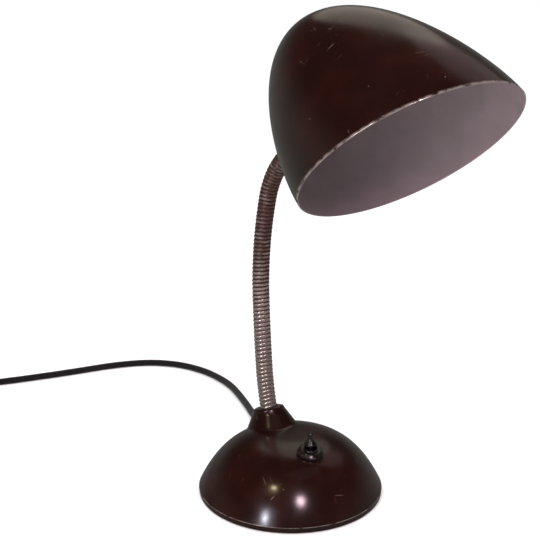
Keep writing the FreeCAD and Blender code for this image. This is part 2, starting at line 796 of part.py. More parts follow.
def switch_body_top():
    return -SWITCH_DEPTH - BUSH_FLANGE


def switch_body_bottom():
    return switch_body_top() - BODY_DEPTH


def switch_body():
    top = switch_body_top()
    bottom = switch_body_bottom()
    body = box(BODY_LENGTH, BODY_WIDTH, bottom, top)
    room = box(BODY_LENGTH - 2 * BODY_WALL, BODY_WIDTH - 2 * BODY_WALL, bottom, top - BODY_WALL)
    body = body.cut(room).cut(cylinder(SWITCH_BORE, bottom, top))
    return on_switch(body.cut(across(ROCKER_PIN_RADIUS, BODY_LENGTH, ROCKER_PIVOT)))


def rocker_pin():
    return on_switch(across(ROCKER_PIN_RADIUS - SLIP, BODY_LENGTH / 2, ROCKER_PIVOT))


def switch_base():
    bottom = switch_body_bottom()
    smaller = 2 * (BODY_WALL + FLOOR_GAP)
    plate = box(BODY_LENGTH - smaller, BODY_WIDTH - smaller, bottom, bottom + SWITCH_FLOOR)
    for side in (-1, 1):
        slot = box(BLADE_LENGTH, BLADE_THICK, bottom, bottom + SWITCH_FLOOR, 0, side * BLADE_OUT)
        plate = plate.cut(slot)
    return on_switch(plate)


def switch_contacts():
    low = switch_body_bottom() - CONTACT_BLADE
    high = switch_body_bottom() + BLADE_TOP
    length = BLADE_LENGTH - BLADE_GAP
    thick = BLADE_THICK - BLADE_GAP
    blades = [box(length, thick, low, high, 0, side * BLADE_OUT) for side in (-1, 1)]
    return on_switch(Part.makeCompound(blades))


def switch_rocker():
    """Forked rocker moved by the lever's tail; its two toes meet the contacts in turn."""
    fork = box(FORK_LENGTH, FORK_WIDTH, 0, ROCKER_HEIGHT)
    fork = fork.cut(box(FORK_LENGTH, FORK_SLOT, FORK_FLOOR, ROCKER_HEIGHT))
    body = fork.fuse(box(FORK_LENGTH, TOE_WIDTH, -TOE_DROP, 0))
    body = body.cut(across(ROCKER_PIN_RADIUS + SLIP, FORK_LENGTH, 0))
    body.rotate(V(0, 0, 0), X_AXIS, LEVER_THROW * ROCKER_RATIO)
    body.translate(V(0, 0, ROCKER_PIVOT))
    return on_switch(body)


# ---------------------------------------------------------------- wiring in the base


def cord_bushing():
    start = BASE_RADIUS - BUSHING_INSIDE
    out = BASE_RADIUS + BUSHING_OUT
    body = cylinder(BUSHING_RADIUS + BUSHING_FLANGE, start, start + BUSHING_FLANGE_THICK)
    body = body.fuse(cylinder(BUSHING_RADIUS, start, out))
    body = body.fuse(cone(BUSHING_RADIUS, BUSHING_TIP_RADIUS, out, BUSHING_TIP))
    return along_exit(body.cut(cylinder(CORD_RADIUS, start, BUSHING_TIP)))


def cord_entry():
    """The cord inside the base, from the clamp to the tip of the bushing."""
    return along_exit(cylinder(CORD_RADIUS, CORD_START_RADIUS, BUSHING_TIP))


def clamp_top():
    return CORD_EXIT_Z + CORD_RADIUS + CLAMP_ROOF


def cord_clamp():
    arch = at_exit(box(CLAMP_LENGTH, CLAMP_WIDTH, plate_top(), clamp_top()), CLAMP_RADIUS)
    cord_room = cylinder(CORD_RADIUS, CLAMP_RADIUS - CLAMP_WIDTH, CLAMP_RADIUS + CLAMP_WIDTH)
    arch = arch.cut(along_exit(cord_room))
    for side in (-1, 1):
        hole = cylinder_at(CLAMP_SCREW_RADIUS + SLIP, side * CLAMP_SCREW_OUT, 0, 0, DOME_TOP)
        arch = arch.cut(at_exit(hole, CLAMP_RADIUS))
    return arch


def clamp_screws():
    top = clamp_top()
    screws = []
    for x in (-CLAMP_SCREW_OUT, CLAMP_SCREW_OUT):
        shank = cylinder_at(CLAMP_SCREW_RADIUS, x, 0, plate_top() + CUT_PAST, top)
        head = cylinder_at(CLAMP_SCREW_HEAD, x, 0, top, top + CLAMP_SCREW_HEAD_THICK)
        screws.append(at_exit(shank.fuse(head), CLAMP_RADIUS))
    return Part.makeCompound(screws)


def terminal_block():
    bottom = ballast_top()
    top = bottom + BLOCK_HEIGHT
    block = box(BLOCK_LENGTH, BLOCK_WIDTH, bottom, top, BLOCK_X, BLOCK_Y)
    for x in (BLOCK_X - BLOCK_SCREW_OUT, BLOCK_X + BLOCK_SCREW_OUT):
        radius = BLOCK_SCREW_RADIUS + BLOCK_SCREW_GAP
        block = block.cut(cylinder_at(radius, x, BLOCK_Y, bottom + BLOCK_SCREW_FOOT, top))
    return block


def terminal_screws():
    low = ballast_top() + BLOCK_SCREW_FOOT
    high = ballast_top() + BLOCK_SCREW_TOP
    places = (BLOCK_X - BLOCK_SCREW_OUT, BLOCK_X + BLOCK_SCREW_OUT)
    return Part.makeCompound([cylinder_at(BLOCK_SCREW_RADIUS, x, BLOCK_Y, low, high) for x in places])


# ---------------------------------------------------------------- cord, coil and plug


def rounded_path(points):
    """Straight runs joined by tangent arcs, each as large as its two runs allow."""
    corners = [V(*p) for p in points]
    edges = []
    radii = []
    start = corners[0]
    for before, corner, after in zip(corners, corners[1:], corners[2:]):
        back, ahead = (before - corner), (after - corner)
        cut = 0.45 * min(back.Length, ahead.Length)
        back.normalize()
        ahead.normalize()
        turn = math.pi - back.getAngle(ahead)
        radius = cut / math.tan(turn / 2)
        first, last = corner + back * cut, corner + ahead * cut
        inward = back + ahead
        inward.normalize()
        middle = corner + inward * (radius / math.cos(turn / 2) - radius)
        edges.append(Part.LineSegment(start, first).toShape())
        edges.append(Part.Arc(first, middle, last).toShape())
        radii.append(round(radius, 1))
        start = last
    edges.append(Part.LineSegment(start, corners[-1]).toShape())
    return Part.Wire(edges), radii


def cord_along(points, name):
    path, radii = rounded_path(points)
    way = V(*points[1]) - V(*points[0])
    section = Part.Wire(Part.makeCircle(CORD_RADIUS, V(*points[0]), way))
    body = path.makePipeShell([section], True, False)
    ratio = body.Volume / (math.pi * CORD_RADIUS ** 2 * path.Length)
    print(name, "length", round(path.Length, 1), "radii", radii, "volume ratio", round(ratio, 4))
    return body


def cord_start(distance):
    """A point on the straight stretch of the cord, at a distance past the tip of the bushing."""
    turn = math.radians(CORD_EXIT_TURN)
    out = BUSHING_TIP + distance
    return (out * math.sin(turn), out * math.cos(turn), CORD_EXIT_Z)


def mains_cord():
    return cord_along((cord_start(0), cord_start(CORD_STRAIGHT)) + CORD_ROUTE, "mains_cord")


def mains_cord_tail():
    return cord_along(TAIL_ROUTE, "mains_cord_tail")


def coil_place(shape, angle=0.0, radius=0.0):
    moved = around_base(shape, angle, radius)
    moved.translate(V(COIL_CENTRE[0], COIL_CENTRE[1], 0))
    return moved


def mains_cord_coil():
    ring = tube(COIL_OUTER, COIL_INNER, 0, COIL_HEIGHT)
    ring = ring.makeFillet(COIL_ROUND, [e for e in ring.Edges if e.BoundBox.ZLength < SLIP])
    return coil_place(ring).cut(tie_block())


def tie_block():
    width = COIL_OUTER - COIL_INNER
    return coil_place(box(width + 2 * TIE_THICK, TIE_WIDTH, 0, COIL_HEIGHT + TIE_THICK), TIE_ANGLE,
                      (COIL_INNER + COIL_OUTER) / 2).cut(tie_core())


def tie_core():
    width = COIL_OUTER - COIL_INNER
    return coil_place(box(width, TIE_WIDTH * 2, TIE_THICK, COIL_HEIGHT), TIE_ANGLE,
                      (COIL_INNER + COIL_OUTER) / 2)


def on_plug(shape):
    """Plug frame: its origin is where the cord enters it, +Z towards its pins."""
    x, y, z = TAIL_ROUTE[-1]
    moved = shape.copy()
    moved.rotate(V(0, 0, 0), X_AXIS, 90)
    moved.translate(V(x, y, z))
    return moved


def plug_end():
    return PLUG_SNOUT + PLUG_LENGTH


def plug_body():
    end = plug_end()
    snout = cone(CORD_RADIUS + SNOUT_WALL, SNOUT_TOP_RADIUS, 0, PLUG_SNOUT)
    body = snout.fuse(cylinder(PLUG_RADIUS, PLUG_SNOUT, end))
    rims = [e for e in body.Edges if abs(e.Length - 2 * math.pi * PLUG_RADIUS) < SLIP]
    body = body.makeFillet(PLUG_ROUND, rims)
    for x in (-PIN_SPACING / 2, PIN_SPACING / 2):
        body = body.cut(cylinder_at(PIN_RADIUS, x, 0, end - PIN_SINK, end))
    return on_plug(body.cut(cylinder(PLUG_SCREW_RADIUS + PLUG_SCREW_GAP, end - PLUG_SCREW_DEPTH, end)))


def plug_pins():
    tip = plug_end() + PIN_LENGTH
    pins = []
    for x in (-PIN_SPACING / 2, PIN_SPACING / 2):
        pin = cylinder_at(PIN_RADIUS - SLIP, x, 0, plug_end() - PIN_SINK, tip)
        pins.append(pin.makeFillet(PIN_ROUND, [e for e in pin.Edges if e.BoundBox.ZMin > tip - SLIP]))
    return on_plug(Part.makeCompound(pins))


def plug_screw():
    top = plug_end() - PLUG_SCREW_SINK
    screw = cylinder(PLUG_SCREW_RADIUS, plug_end() - PLUG_SCREW_DEPTH, top)
    slot = box(4 * PLUG_SCREW_RADIUS, PLUG_SLOT, top - PLUG_SLOT_DEPTH, top)
    return on_plug(screw.cut(slot))


NODES = {
    "base_shell": base_shell,
    "base_plate": base_plate,
    "felt_pad": felt_pad,
    "plate_screws": plate_screws,
    "base_ballast": ballast,
    "neck_washer": neck_washer,
    "neck_locknut": neck_locknut,
    "neck_lower_ferrule": neck_lower_ferrule,
    "neck_upper_ferrule": neck_upper_ferrule,
    "shade": shade,
    "seat_washer": seat_washer,
    "inner_washer": inner_washer,
    "head_locknut": head_locknut,
    "head_nipple": head_nipple,
    "holder_cap": holder_cap,
    "holder_insert": holder_insert,
    "holder_terminals": holder_terminals,
    "holder_screw_shell": holder_screw_shell,
    "holder_centre_contact": holder_centre_contact,
    "holder_shell": holder_shell,
    "bulb_cap": bulb_cap,
    "bulb_contact": bulb_contact,
    "bulb_glass": bulb_glass,
    "bulb_filament": bulb_filament,
    "switch_bushing": switch_bushing,
    "switch_pivot_pin": switch_pivot_pin,
    "switch_ring_nut": switch_ring_nut,
    "switch_lever": switch_lever,
    "switch_body": switch_body,
    "rocker_pin": rocker_pin,
    "switch_base": switch_base,
    "switch_contacts": switch_contacts,
    "switch_rocker": switch_rocker,
    "cord_bushing": cord_bushing,
    "cord_entry": cord_entry,
    "cord_clamp": cord_clamp,
    "clamp_screws": clamp_screws,
    "terminal_block": terminal_block,
    "terminal_screws": terminal_screws,
    "mains_cord": mains_cord,
    "mains_cord_coil": mains_cord_coil,
    "mains_cord_tail": mains_cord_tail,
    "cord_tie": tie_block,
    "plug_body": plug_body,
    "plug_pins": plug_pins,
    "plug_screw": plug_screw,
}


def main():
    os.makedirs("parts", exist_ok=True)
    for name, make in NODES.items():
        make().exportStep("parts/" + name + ".step")
    for index in range(SEGMENTS):
        neck_segment(index).exportStep("parts/neck_segment_%02d.step" % (index + 1))


main()
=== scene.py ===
import json
import math

import bpy
import numpy as np
from mathutils import Matrix


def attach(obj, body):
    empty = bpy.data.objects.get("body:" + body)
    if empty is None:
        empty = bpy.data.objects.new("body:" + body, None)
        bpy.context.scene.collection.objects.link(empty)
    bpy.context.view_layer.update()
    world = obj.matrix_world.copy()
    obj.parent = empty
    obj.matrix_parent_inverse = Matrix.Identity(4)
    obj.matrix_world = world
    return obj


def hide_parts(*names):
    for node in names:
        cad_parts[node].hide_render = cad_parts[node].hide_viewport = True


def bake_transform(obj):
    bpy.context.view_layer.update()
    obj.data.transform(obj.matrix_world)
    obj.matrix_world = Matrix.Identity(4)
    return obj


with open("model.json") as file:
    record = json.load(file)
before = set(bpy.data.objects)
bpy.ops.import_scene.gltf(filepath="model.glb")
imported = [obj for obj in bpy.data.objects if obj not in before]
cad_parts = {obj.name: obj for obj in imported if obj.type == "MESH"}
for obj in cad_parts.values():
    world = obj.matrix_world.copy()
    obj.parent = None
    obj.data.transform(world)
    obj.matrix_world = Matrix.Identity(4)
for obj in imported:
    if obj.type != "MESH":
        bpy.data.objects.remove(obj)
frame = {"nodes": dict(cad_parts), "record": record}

bl_info = {
    "name": "Gooseneck desk lamp",
    "version": (1, 0, 0),
    "blender": (4, 5, 0),
    "location": "3D View > Sidebar > Desk lamp",
    "description": "Makes the looks of a brown lacquered gooseneck desk lamp around its packed CAD frame",
    "category": "Object",
}

TURN = 2 * math.pi
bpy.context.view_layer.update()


def linear(code):
    """An sRGB hex value as linear red, green, blue and 1."""
    parts = np.array([int(code[k:k + 2], 16) for k in (1, 3, 5)]) / 255
    low, high = parts / 12.92, ((parts + 0.055) / 1.055) ** 2.4
    return (*np.where(parts <= 0.04045, low, high).tolist(), 1.0)


def maker(kind, convert=None, **fixed):
    """A short way to write one kind of property, as its value, name and description."""
    def make(value, name, description):
        value = convert(value) if convert else value
        return kind(name=name, description=description, default=value, **fixed)
    return make


reach = maker(bpy.props.FloatProperty, unit="LENGTH", subtype="DISTANCE")
angle = maker(bpy.props.FloatProperty, math.radians, unit="ROTATION", subtype="ANGLE")
number = maker(bpy.props.FloatProperty)
whole = maker(bpy.props.IntProperty)
tint = maker(bpy.props.FloatVectorProperty, linear, subtype="COLOR", size=4, min=0.0, max=1.0)


# ---- what a user may change


class BaseSettings(bpy.types.PropertyGroup):
    """Sizes of the domed base and its collar."""
    radius: reach(0.075, "Radius", "Radius of the foot of the dome")
    rise: reach(0.0426, "Rise", "Height of the dome above its band")
    band: reach(0.005, "Band", "Height of the straight band below the dome")
    power: number(3.6, "Fullness", "Higher is flatter on top and steeper at the edge")
    wall: reach(0.0015, "Wall", "Thickness of the pressed steel")
    collar_y: reach(0.0396, "Collar place", "How far back the middle of the collar's top is")
    collar_z: reach(0.0576, "Collar height", "Height of the middle of the collar's top")
    collar_lean: angle(17.1, "Collar lean", "Lean of the collar towards the back")
    collar_top: reach(0.0118, "Collar top radius", "Radius of the collar at its top")
    collar_foot: reach(0.0238, "Collar foot radius", "Radius of the collar's cone at its depth")
    collar_depth: reach(0.021, "Collar depth", "Depth below its top to which the cone is measured")
    collar_round: reach(0.0024, "Collar round", "Rounding of the collar's top edge")
    fillet: reach(0.0023, "Flare", "How far from their meeting line the cone and the dome are blended")
    turn: angle(13.0, "Turn", "Turn of the collar, neck and head towards +X")
    turn_y: reach(0.035, "Turning line, back", "Where the line they turn about stands, along Y")
    turn_z: reach(0.046, "Turning line, height", "Height of that place")
    turn_lean: angle(10.0, "Turning line, lean", "Lean of that line towards the back")


class NeckSettings(bpy.types.PropertyGroup):
    """Sizes of the spiral hose."""
    radius: reach(0.00725, "Radius", "Outer radius of the spiral hose")
    groove: reach(0.0009, "Groove", "Depth of the groove between two turns of wire")
    length: reach(0.2436, "Length", "Length of the hose between the collar and the head")
    turns: whole(72, "Turns", "Turns of wire along that length")


class ShadeSettings(bpy.types.PropertyGroup):
    """Sizes of the shade."""
    radius: reach(0.0854, "Radius", "Radius of the opening")
    depth: reach(0.1352, "Depth", "Depth from the opening to the top")
    shift: reach(0.0301, "Step back", "How far the top lies behind the middle of the opening")
    power: number(1.518, "Fullness", "How soon the wall closes in as it rises")
    roundness: number(2.056, "Roundness", "How round the top is")
    wall: reach(0.0009, "Wall", "Thickness of the sheet metal and its paint")
    seat_depth: reach(0.0676, "Seat", "Height above the opening at which the neck enters")
    stand_off: reach(0.010, "Stand-off", "Distance from the end of the neck to the shade")


class SwitchSettings(bpy.types.PropertyGroup):
    """Sizes of the toggle switch."""
    place: reach(-0.034, "Place", "Where the switch stands on the dome, along Y")
    nut_radius: reach(0.0103, "Nut radius", "Radius over the knurls")
    nut_height: reach(0.0036, "Nut height", "Height of the knurled ring")
    knurls: whole(36, "Knurls", "Grooves round the nut")
    bush_radius: reach(0.00595, "Bush radius", "Radius of the threaded bush")
    bush_top: reach(0.0072, "Bush top", "Height of the bush above the dome")
    lever_radius: reach(0.0022, "Lever radius", "Radius of the lever")
    lever_top: reach(0.0196, "Lever top", "Height of the lever's tip above the dome")
    throw: angle(14.0, "Throw", "Lean of the lever to either side")


class CordSettings(bpy.types.PropertyGroup):
    """Sizes of the mains cord and its plug."""
    radius: reach(0.0032, "Radius", "Radius of the braided cord")
    length: reach(1.8, "Length", "Whole length of the cord")
    braid: reach(0.0026, "Braid", "Length of one diamond of the braid, drawn coarser than real")
    coil_inner: reach(0.0252, "Inner turn", "Radius of the innermost turn of the coil")
    coil_outer: reach(0.0388, "Outer turn", "Radius of the outermost turn of the coil")
    exit_turn: angle(13.3, "Exit turn", "Turn of the cord's exit from +Y towards +X")
    plug_radius: reach(0.017, "Plug radius", "Radius of the plug's body")
    plug_length: reach(0.026, "Plug length", "Length of the plug's body")
    plug_snout: reach(0.014, "Plug snout", "Length of the tapered end that the cord enters")


class FinishSettings(bpy.types.PropertyGroup):
    """Colours of the finishes."""
    lacquer: tint("#190806", "Lacquer", "Brown stoving lacquer on the shade and the base")
    lacquer_thin: tint("#210b07", "Thin lacquer", "Where the lacquer is thinner and redder")
    steel: tint("#b9aca6", "Worn steel", "Bare steel where lacquer has worn away")
    hose_paint: tint("#432a24", "Hose paint", "Brown paint on the spiral hose")
    inside: tint("#85797c", "Inside", "Pale reflector paint inside the shade")
    bakelite: tint("#0c0908", "Bakelite", "Black phenolic moulding")
    cord: tint("#0c0a0b", "Cord", "Dark cotton braid")
    cord_light: tint("#221d1e", "Cord pick", "Lighter threads in the braid")
    felt: tint("#2e2a24", "Felt", "Wool felt under the base")
    rubber: tint("#151415", "Rubber", "Black rubber")
    floor: tint("#fbfbfb", "Floor", "Plain pale floor")


GROUPS = {"lamp_base": BaseSettings, "lamp_neck": NeckSettings, "lamp_shade": ShadeSettings,
          "lamp_switch": SwitchSettings, "lamp_cord": CordSettings, "lamp_finish": FinishSettings}


# ---- places and meshes


def leaned(origin, lean):
    """A place with +Z leaned back by lean: its origin, and its X, Y and Z axes as rows."""
    c, s = np.cos(lean), np.sin(lean)
    return np.array(origin), np.array([[1, 0, 0], [0, c, -s], [0, s, c]])


def placed(points, place):
    """Points of a place's own axes, in the row frame."""
    origin, axes = place
    return origin + points @ axes


def unit(vectors):
    return vectors / np.linalg.norm(vectors, axis=-1, keepdims=True)


def cubic(t, a, b, c, d):
    """A cubic Bezier curve from a to d, pulled towards b and c."""
    return (1 - t) ** 3 * a + 3 * t * (1 - t) ** 2 * b + 3 * t ** 2 * (1 - t) * c + t ** 3 * d


def spun(points, origin, axis, turn):
    """Points turned about an axis through origin, by Rodrigues' formula
    p cos t + (a x p) sin t + a (a . p)(1 - cos t)."""
    p = points - origin
    along = (p @ axis)[..., None] * axis
    return origin + p * np.cos(turn) + np.cross(axis, p) * np.sin(turn) + along * (1 - np.cos(turn))


def aside(base, origin, axes):
    """Places turned from the mirror plane to the plane of the neck."""
    through, line = leaned((0, base.turn_y, base.turn_z), base.turn_lean)
    return spun(origin, through, line[2], base.turn), spun(axes, np.zeros(3), line[2], base.turn)


def collar_place(base):
    return aside(base, *leaned((0, base.collar_y, base.collar_z), base.collar_lean))


def dome_height(base, radius):
    """Height of the dome: band + rise * (1 - (radius / R) ** power)."""
    share = np.clip(radius / base.radius, 0, 1)
    return base.band + base.rise * (1 - share ** base.power)


def dome_slope(base, radius):
    return -base.power * base.rise / base.radius * (radius / base.radius) ** (base.power - 1)


def switch_place(base, switch):
    radius = abs(switch.place)
    lean = -math.atan(-dome_slope(base, radius))
    return leaned((0, switch.place, dome_height(base, radius)), lean)


# Ends of the neck's arcs, in metres from the collar, and its lean there in degrees
NECK_ENDS = (0.0, 0.035, 0.095, 0.180, 0.2123, 0.2436)
NECK_LEANS = (17.1, 8.6, 5.3, -11.9, -41.0, -60.1)


def neck_places(base, neck, distances):
    """Origins (n, 3) and axes (n, 3, 3) of places along the neck's centreline. The lean is linear
    in the distance on each arc, and the line is the running sum of (0, sin lean, cos lean)."""
    fine = np.linspace(min(distances[0], 0), max(distances[-1], neck.length), 4001)
    lean = np.radians(np.interp(fine, NECK_ENDS, NECK_LEANS))
    step = np.diff(fine, prepend=fine[0])
    middle = (lean + np.roll(lean, 1)) / 2
    middle[0] = lean[0]
    y, z = np.cumsum(step * np.sin(middle)), np.cumsum(step * np.cos(middle))
    y += base.collar_y - np.interp(0, fine, y)
    z += base.collar_z - np.interp(0, fine, z)
    at = np.interp(distances, fine, lean)
    origin = np.stack([at * 0, np.interp(distances, fine, y), np.interp(distances, fine, z)], 1)
    axes = np.array([leaned((0, 0, 0), lean)[1] for lean in at])
    return aside(base, origin, axes)


def head_place(base, neck):
    origin, axes = neck_places(base, neck, np.array([neck.length]))
    return origin[0], axes[0]


def shade_wall(shade, inset, swing, around):
    """Points of a shade whose opening and depth are less by inset. With swing w from 0 at the
    opening to a quarter turn at the top, the section's radius is edge * cos w, its height is
    depth * (1 - cos(w) ** roundness) ** (1 / power), and it steps back in line with its height."""
    edge, depth = shade.radius - inset, shade.depth - inset
    ratio = np.cos(swing)
    share = np.clip(1 - np.abs(ratio) ** shade.roundness, 0, 1) ** (1 / shade.power)
    ratio, share = np.broadcast_arrays(ratio[:, None], share[:, None])
    return np.stack([edge * ratio * np.cos(around), edge * ratio * np.sin(around) + shade.shift * share,
                     depth * share + 0 * around], -1)


def shade_place(base, neck, shade):
    """The shade's own place: its seat on the back wall lies square across the neck's end."""
    share = shade.seat_depth / shade.depth
    edge = lambda s: shade.shift * s + shade.radius * (1 - s ** shade.power) ** (1 / shade.roundness)
    slope = math.atan((edge(share + 1e-4) - edge(share)) / (1e-4 * shade.depth))
    turn = math.pi / 2 - slope
    own = leaned((0, 0, 0), turn)[1]
    seat = np.array([0, edge(share), shade.seat_depth])
    origin, axes = head_place(base, neck)
    return origin + np.array([0, 0, shade.stand_off]) @ axes - seat @ own @ axes, own @ axes


def circle(columns):
    return np.linspace(0, TURN, columns, endpoint=False)[None, :]


def turned(profile, columns=64, swell=None):
    """A profile of (radius, height) points turned about +Z, as a grid (rows, columns, 3).
    swell, an array (rows, columns), is added to the radius."""
    profile = np.array(profile, float)
    around = circle(columns)
    radius = profile[:, :1] + (0 if swell is None else swell)
    return np.stack([radius * np.cos(around), radius * np.sin(around), profile[:, 1:] + 0 * around], -1)


def softened(profile, size, steps=4):
    """The same profile with each inner corner cut back by size, or by 0.4 of its shorter side,
    and joined by a quadratic Bezier curve, (1-t)^2 a + 2 t (1-t) corner + t^2 b."""
    points = np.array(profile, float)
    t = np.linspace(0, 1, steps)[:, None]
    parts = [points[:1]]
    for before, corner, after in zip(points, points[1:], points[2:]):
        back, ahead = before - corner, after - corner
        lengths = np.linalg.norm(back), np.linalg.norm(ahead)
        cut = min(size, 0.4 * min(lengths))
        a, b = corner + back / lengths[0] * cut, corner + ahead / lengths[1] * cut
        parts.append((1 - t) ** 2 * a + 2 * t * (1 - t) * corner + t ** 2 * b)
    return np.concatenate([*parts, points[-1:]])


def grid_mesh(name, grid, wrap=False, rows_at=None, marks=None, normals=None):
    """A mesh object from a grid of points (rows, columns, 3) whose columns go all the way round.
    wrap joins the last row to the first; otherwise both are closed on their middles.
    marks are per-point attributes, and rows_at gives the UV map its first coordinate."""
    rows, columns = grid.shape[:2]
    points = grid.reshape(-1, 3)
    index = np.arange(rows * columns).reshape(rows, columns)
    low = index if wrap else index[:-1]
    high = np.roll(index, -1, 0) if wrap else index[1:]
    quads = np.stack([low, np.roll(low, -1, 1), np.roll(high, -1, 1), high], -1).reshape(-1, 4)
    ends = np.zeros((0, 3), int)
    for k in () if wrap else (0, -1):
        row, other = index[k], np.roll(index[k], -1)
        middle = np.full(columns, len(points))
        points = np.concatenate([points, grid[k].mean(0)[None]])
        ends = np.concatenate([ends, np.stack([row, other, middle] if k else [other, row, middle], -1)])
    added = len(points) - rows * columns
    corners = np.concatenate([quads[:, [0, 1, 2]], quads[:, [0, 2, 3]], ends])
    a, b, c = (points[corners[:, k]] for k in range(3))
    if np.einsum("ij,ij->i", a, np.cross(b, c)).sum() < 0:
        quads, ends = quads[:, ::-1], ends[:, ::-1]
    mesh = bpy.data.meshes.new(name)
    mesh.from_pydata(points.tolist(), [], quads.tolist() + ends.tolist())
    mesh.polygons.foreach_set("use_smooth", np.ones(len(mesh.polygons), bool))
    for label, values in (marks or {}).items():
        values = np.broadcast_to(values, (rows, columns)).ravel()
        values = np.concatenate([values, values[-1:].repeat(added)])
        mesh.attributes.new(label, "FLOAT", "POINT").data.foreach_set("value", values.astype(np.float32))
    if rows_at is not None:
        corner = np.zeros(len(mesh.loops), np.int32)
        mesh.loops.foreach_get("vertex_index", corner)
        row, column = np.minimum(corner // columns, rows - 1), corner % columns
        # A quad across the seam counts its first column as one past the last.
        quad = column[:4 * len(quads)].reshape(-1, 4)
        seam = (quad.min(1) == 0) & (quad.max(1) == columns - 1)
        quad[...] = np.where(seam[:, None] & (quad == 0), columns, quad)
        uv = np.stack([np.asarray(rows_at)[row], column / columns], 1)
        mesh.uv_layers.new(name="Along").data.foreach_set("uv", uv.astype(np.float32).ravel())
    if normals is not None:
        flat = normals.reshape(-1, 3)
        flat = np.concatenate([flat, np.tile(flat[-1:], (added, 1))])
        mesh.normals_split_custom_set_from_vertices(flat.tolist())
    mesh.validate()
    made = bpy.data.objects.new(name, mesh)
    bpy.context.scene.collection.objects.link(made)
    return made


# Every material by the record's slot name, filled in by LAMP_OT_materials
FINISHES = {}


def dressed(made, body, slot, replaces=()):
    """Gives a piece the material of its slot, parents it to its body's empty and hides the CAD nodes it
    stands for.
    """
    made.data.materials.append(FINISHES[slot])
    if body:
        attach(made, body)
    if replaces:
        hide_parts(*replaces)
    return made


def piece(name, grid, body, slot, nodes=(), sharp=50, named=True, **options):
    """A dressed piece, its shading split at edges that turn by more than sharp degrees."""
    made = grid_mesh(name, grid, **options)
    made.data.set_sharp_from_angle(angle=math.radians(sharp))
    return dressed(made, body, slot, nodes)


# ---- materials


def add(tree, kind, sockets=None, **values):
    """Adds a node with its settings, and sets its sockets or links them to outputs."""
    made = tree.nodes.new("ShaderNode" + kind)
    for key, value in values.items():
        setattr(made, key, value)
    for key, value in (sockets or {}).items():
        if isinstance(value, bpy.types.NodeSocket):
            tree.links.new(value, made.inputs[key])
        else:
            made.inputs[key].default_value = value
    return made


def begun(name):
    """An empty material of that name, and its node tree."""
    made = bpy.data.materials.get(name) or bpy.data.materials.new(name)
    made.use_nodes = True
    made.node_tree.nodes.clear()
    return made, made.node_tree


def ended(made, **sockets):
    """Gives a material its Principled shader. Sockets are given as Base_Color and so on, with
    underscores for spaces."""
    sockets = {key.replace("_", " "): value for key, value in sockets.items()}
    shader = add(made.node_tree, "BsdfPrincipled", sockets)
    add(made.node_tree, "OutputMaterial", {"Surface": shader.outputs[0]})
    return made


def grain(tree, size, detail=3.0, roughness=0.5, stretch=(1, 1, 1), warp=0.0):
    """Noise whose lumps are size metres across, 0 to 1, on Object coordinates."""
    place = add(tree, "TexCoord").outputs["Object"]
    place = add(tree, "Mapping", {"Vector": place, "Scale": [s / size for s in stretch]}).outputs[0]
    return add(tree, "TexNoise", {"Vector": place, "Scale": 1.0, "Detail": detail, "Roughness": roughness,
                                  "Distortion": warp}).outputs[0]


def ranged(tree, value, low, high, to_low=0.0, to_high=1.0):
    """value moved from the range low to high onto to_low to to_high, smoothly and clamped."""
    return add(tree, "MapRange", {0: value, 1: low, 2: high, 3: to_low, 4: to_high},
               interpolation_type="SMOOTHSTEP").outputs[0]


def maths(tree, operation, a, b=0.0):
    return add(tree, "Math", {0: a, 1: b}, operation=operation).outputs[0]


def times(tree, a, b):
    return maths(tree, "MULTIPLY", a, b)


def mark(tree, name):
    """A per-point attribute that grid_mesh wrote."""
    return add(tree, "Attribute", attribute_name=name).outputs["Fac"]


def blended(tree, share, a, b):
    """Colour a where share is 0, colour b where it is 1. Either may be an sRGB hex value."""
    a, b = (linear(c) if isinstance(c, str) else c for c in (a, b))
    return add(tree, "Mix", {0: share, 6: a, 7: b}, data_type="RGBA").outputs[2]


def bump(tree, height, distance):
    """Raises the surface by height times distance, in metres."""
    return add(tree, "Bump", {"Height": height, "Distance": distance, "Strength": 1.0}).outputs[0]


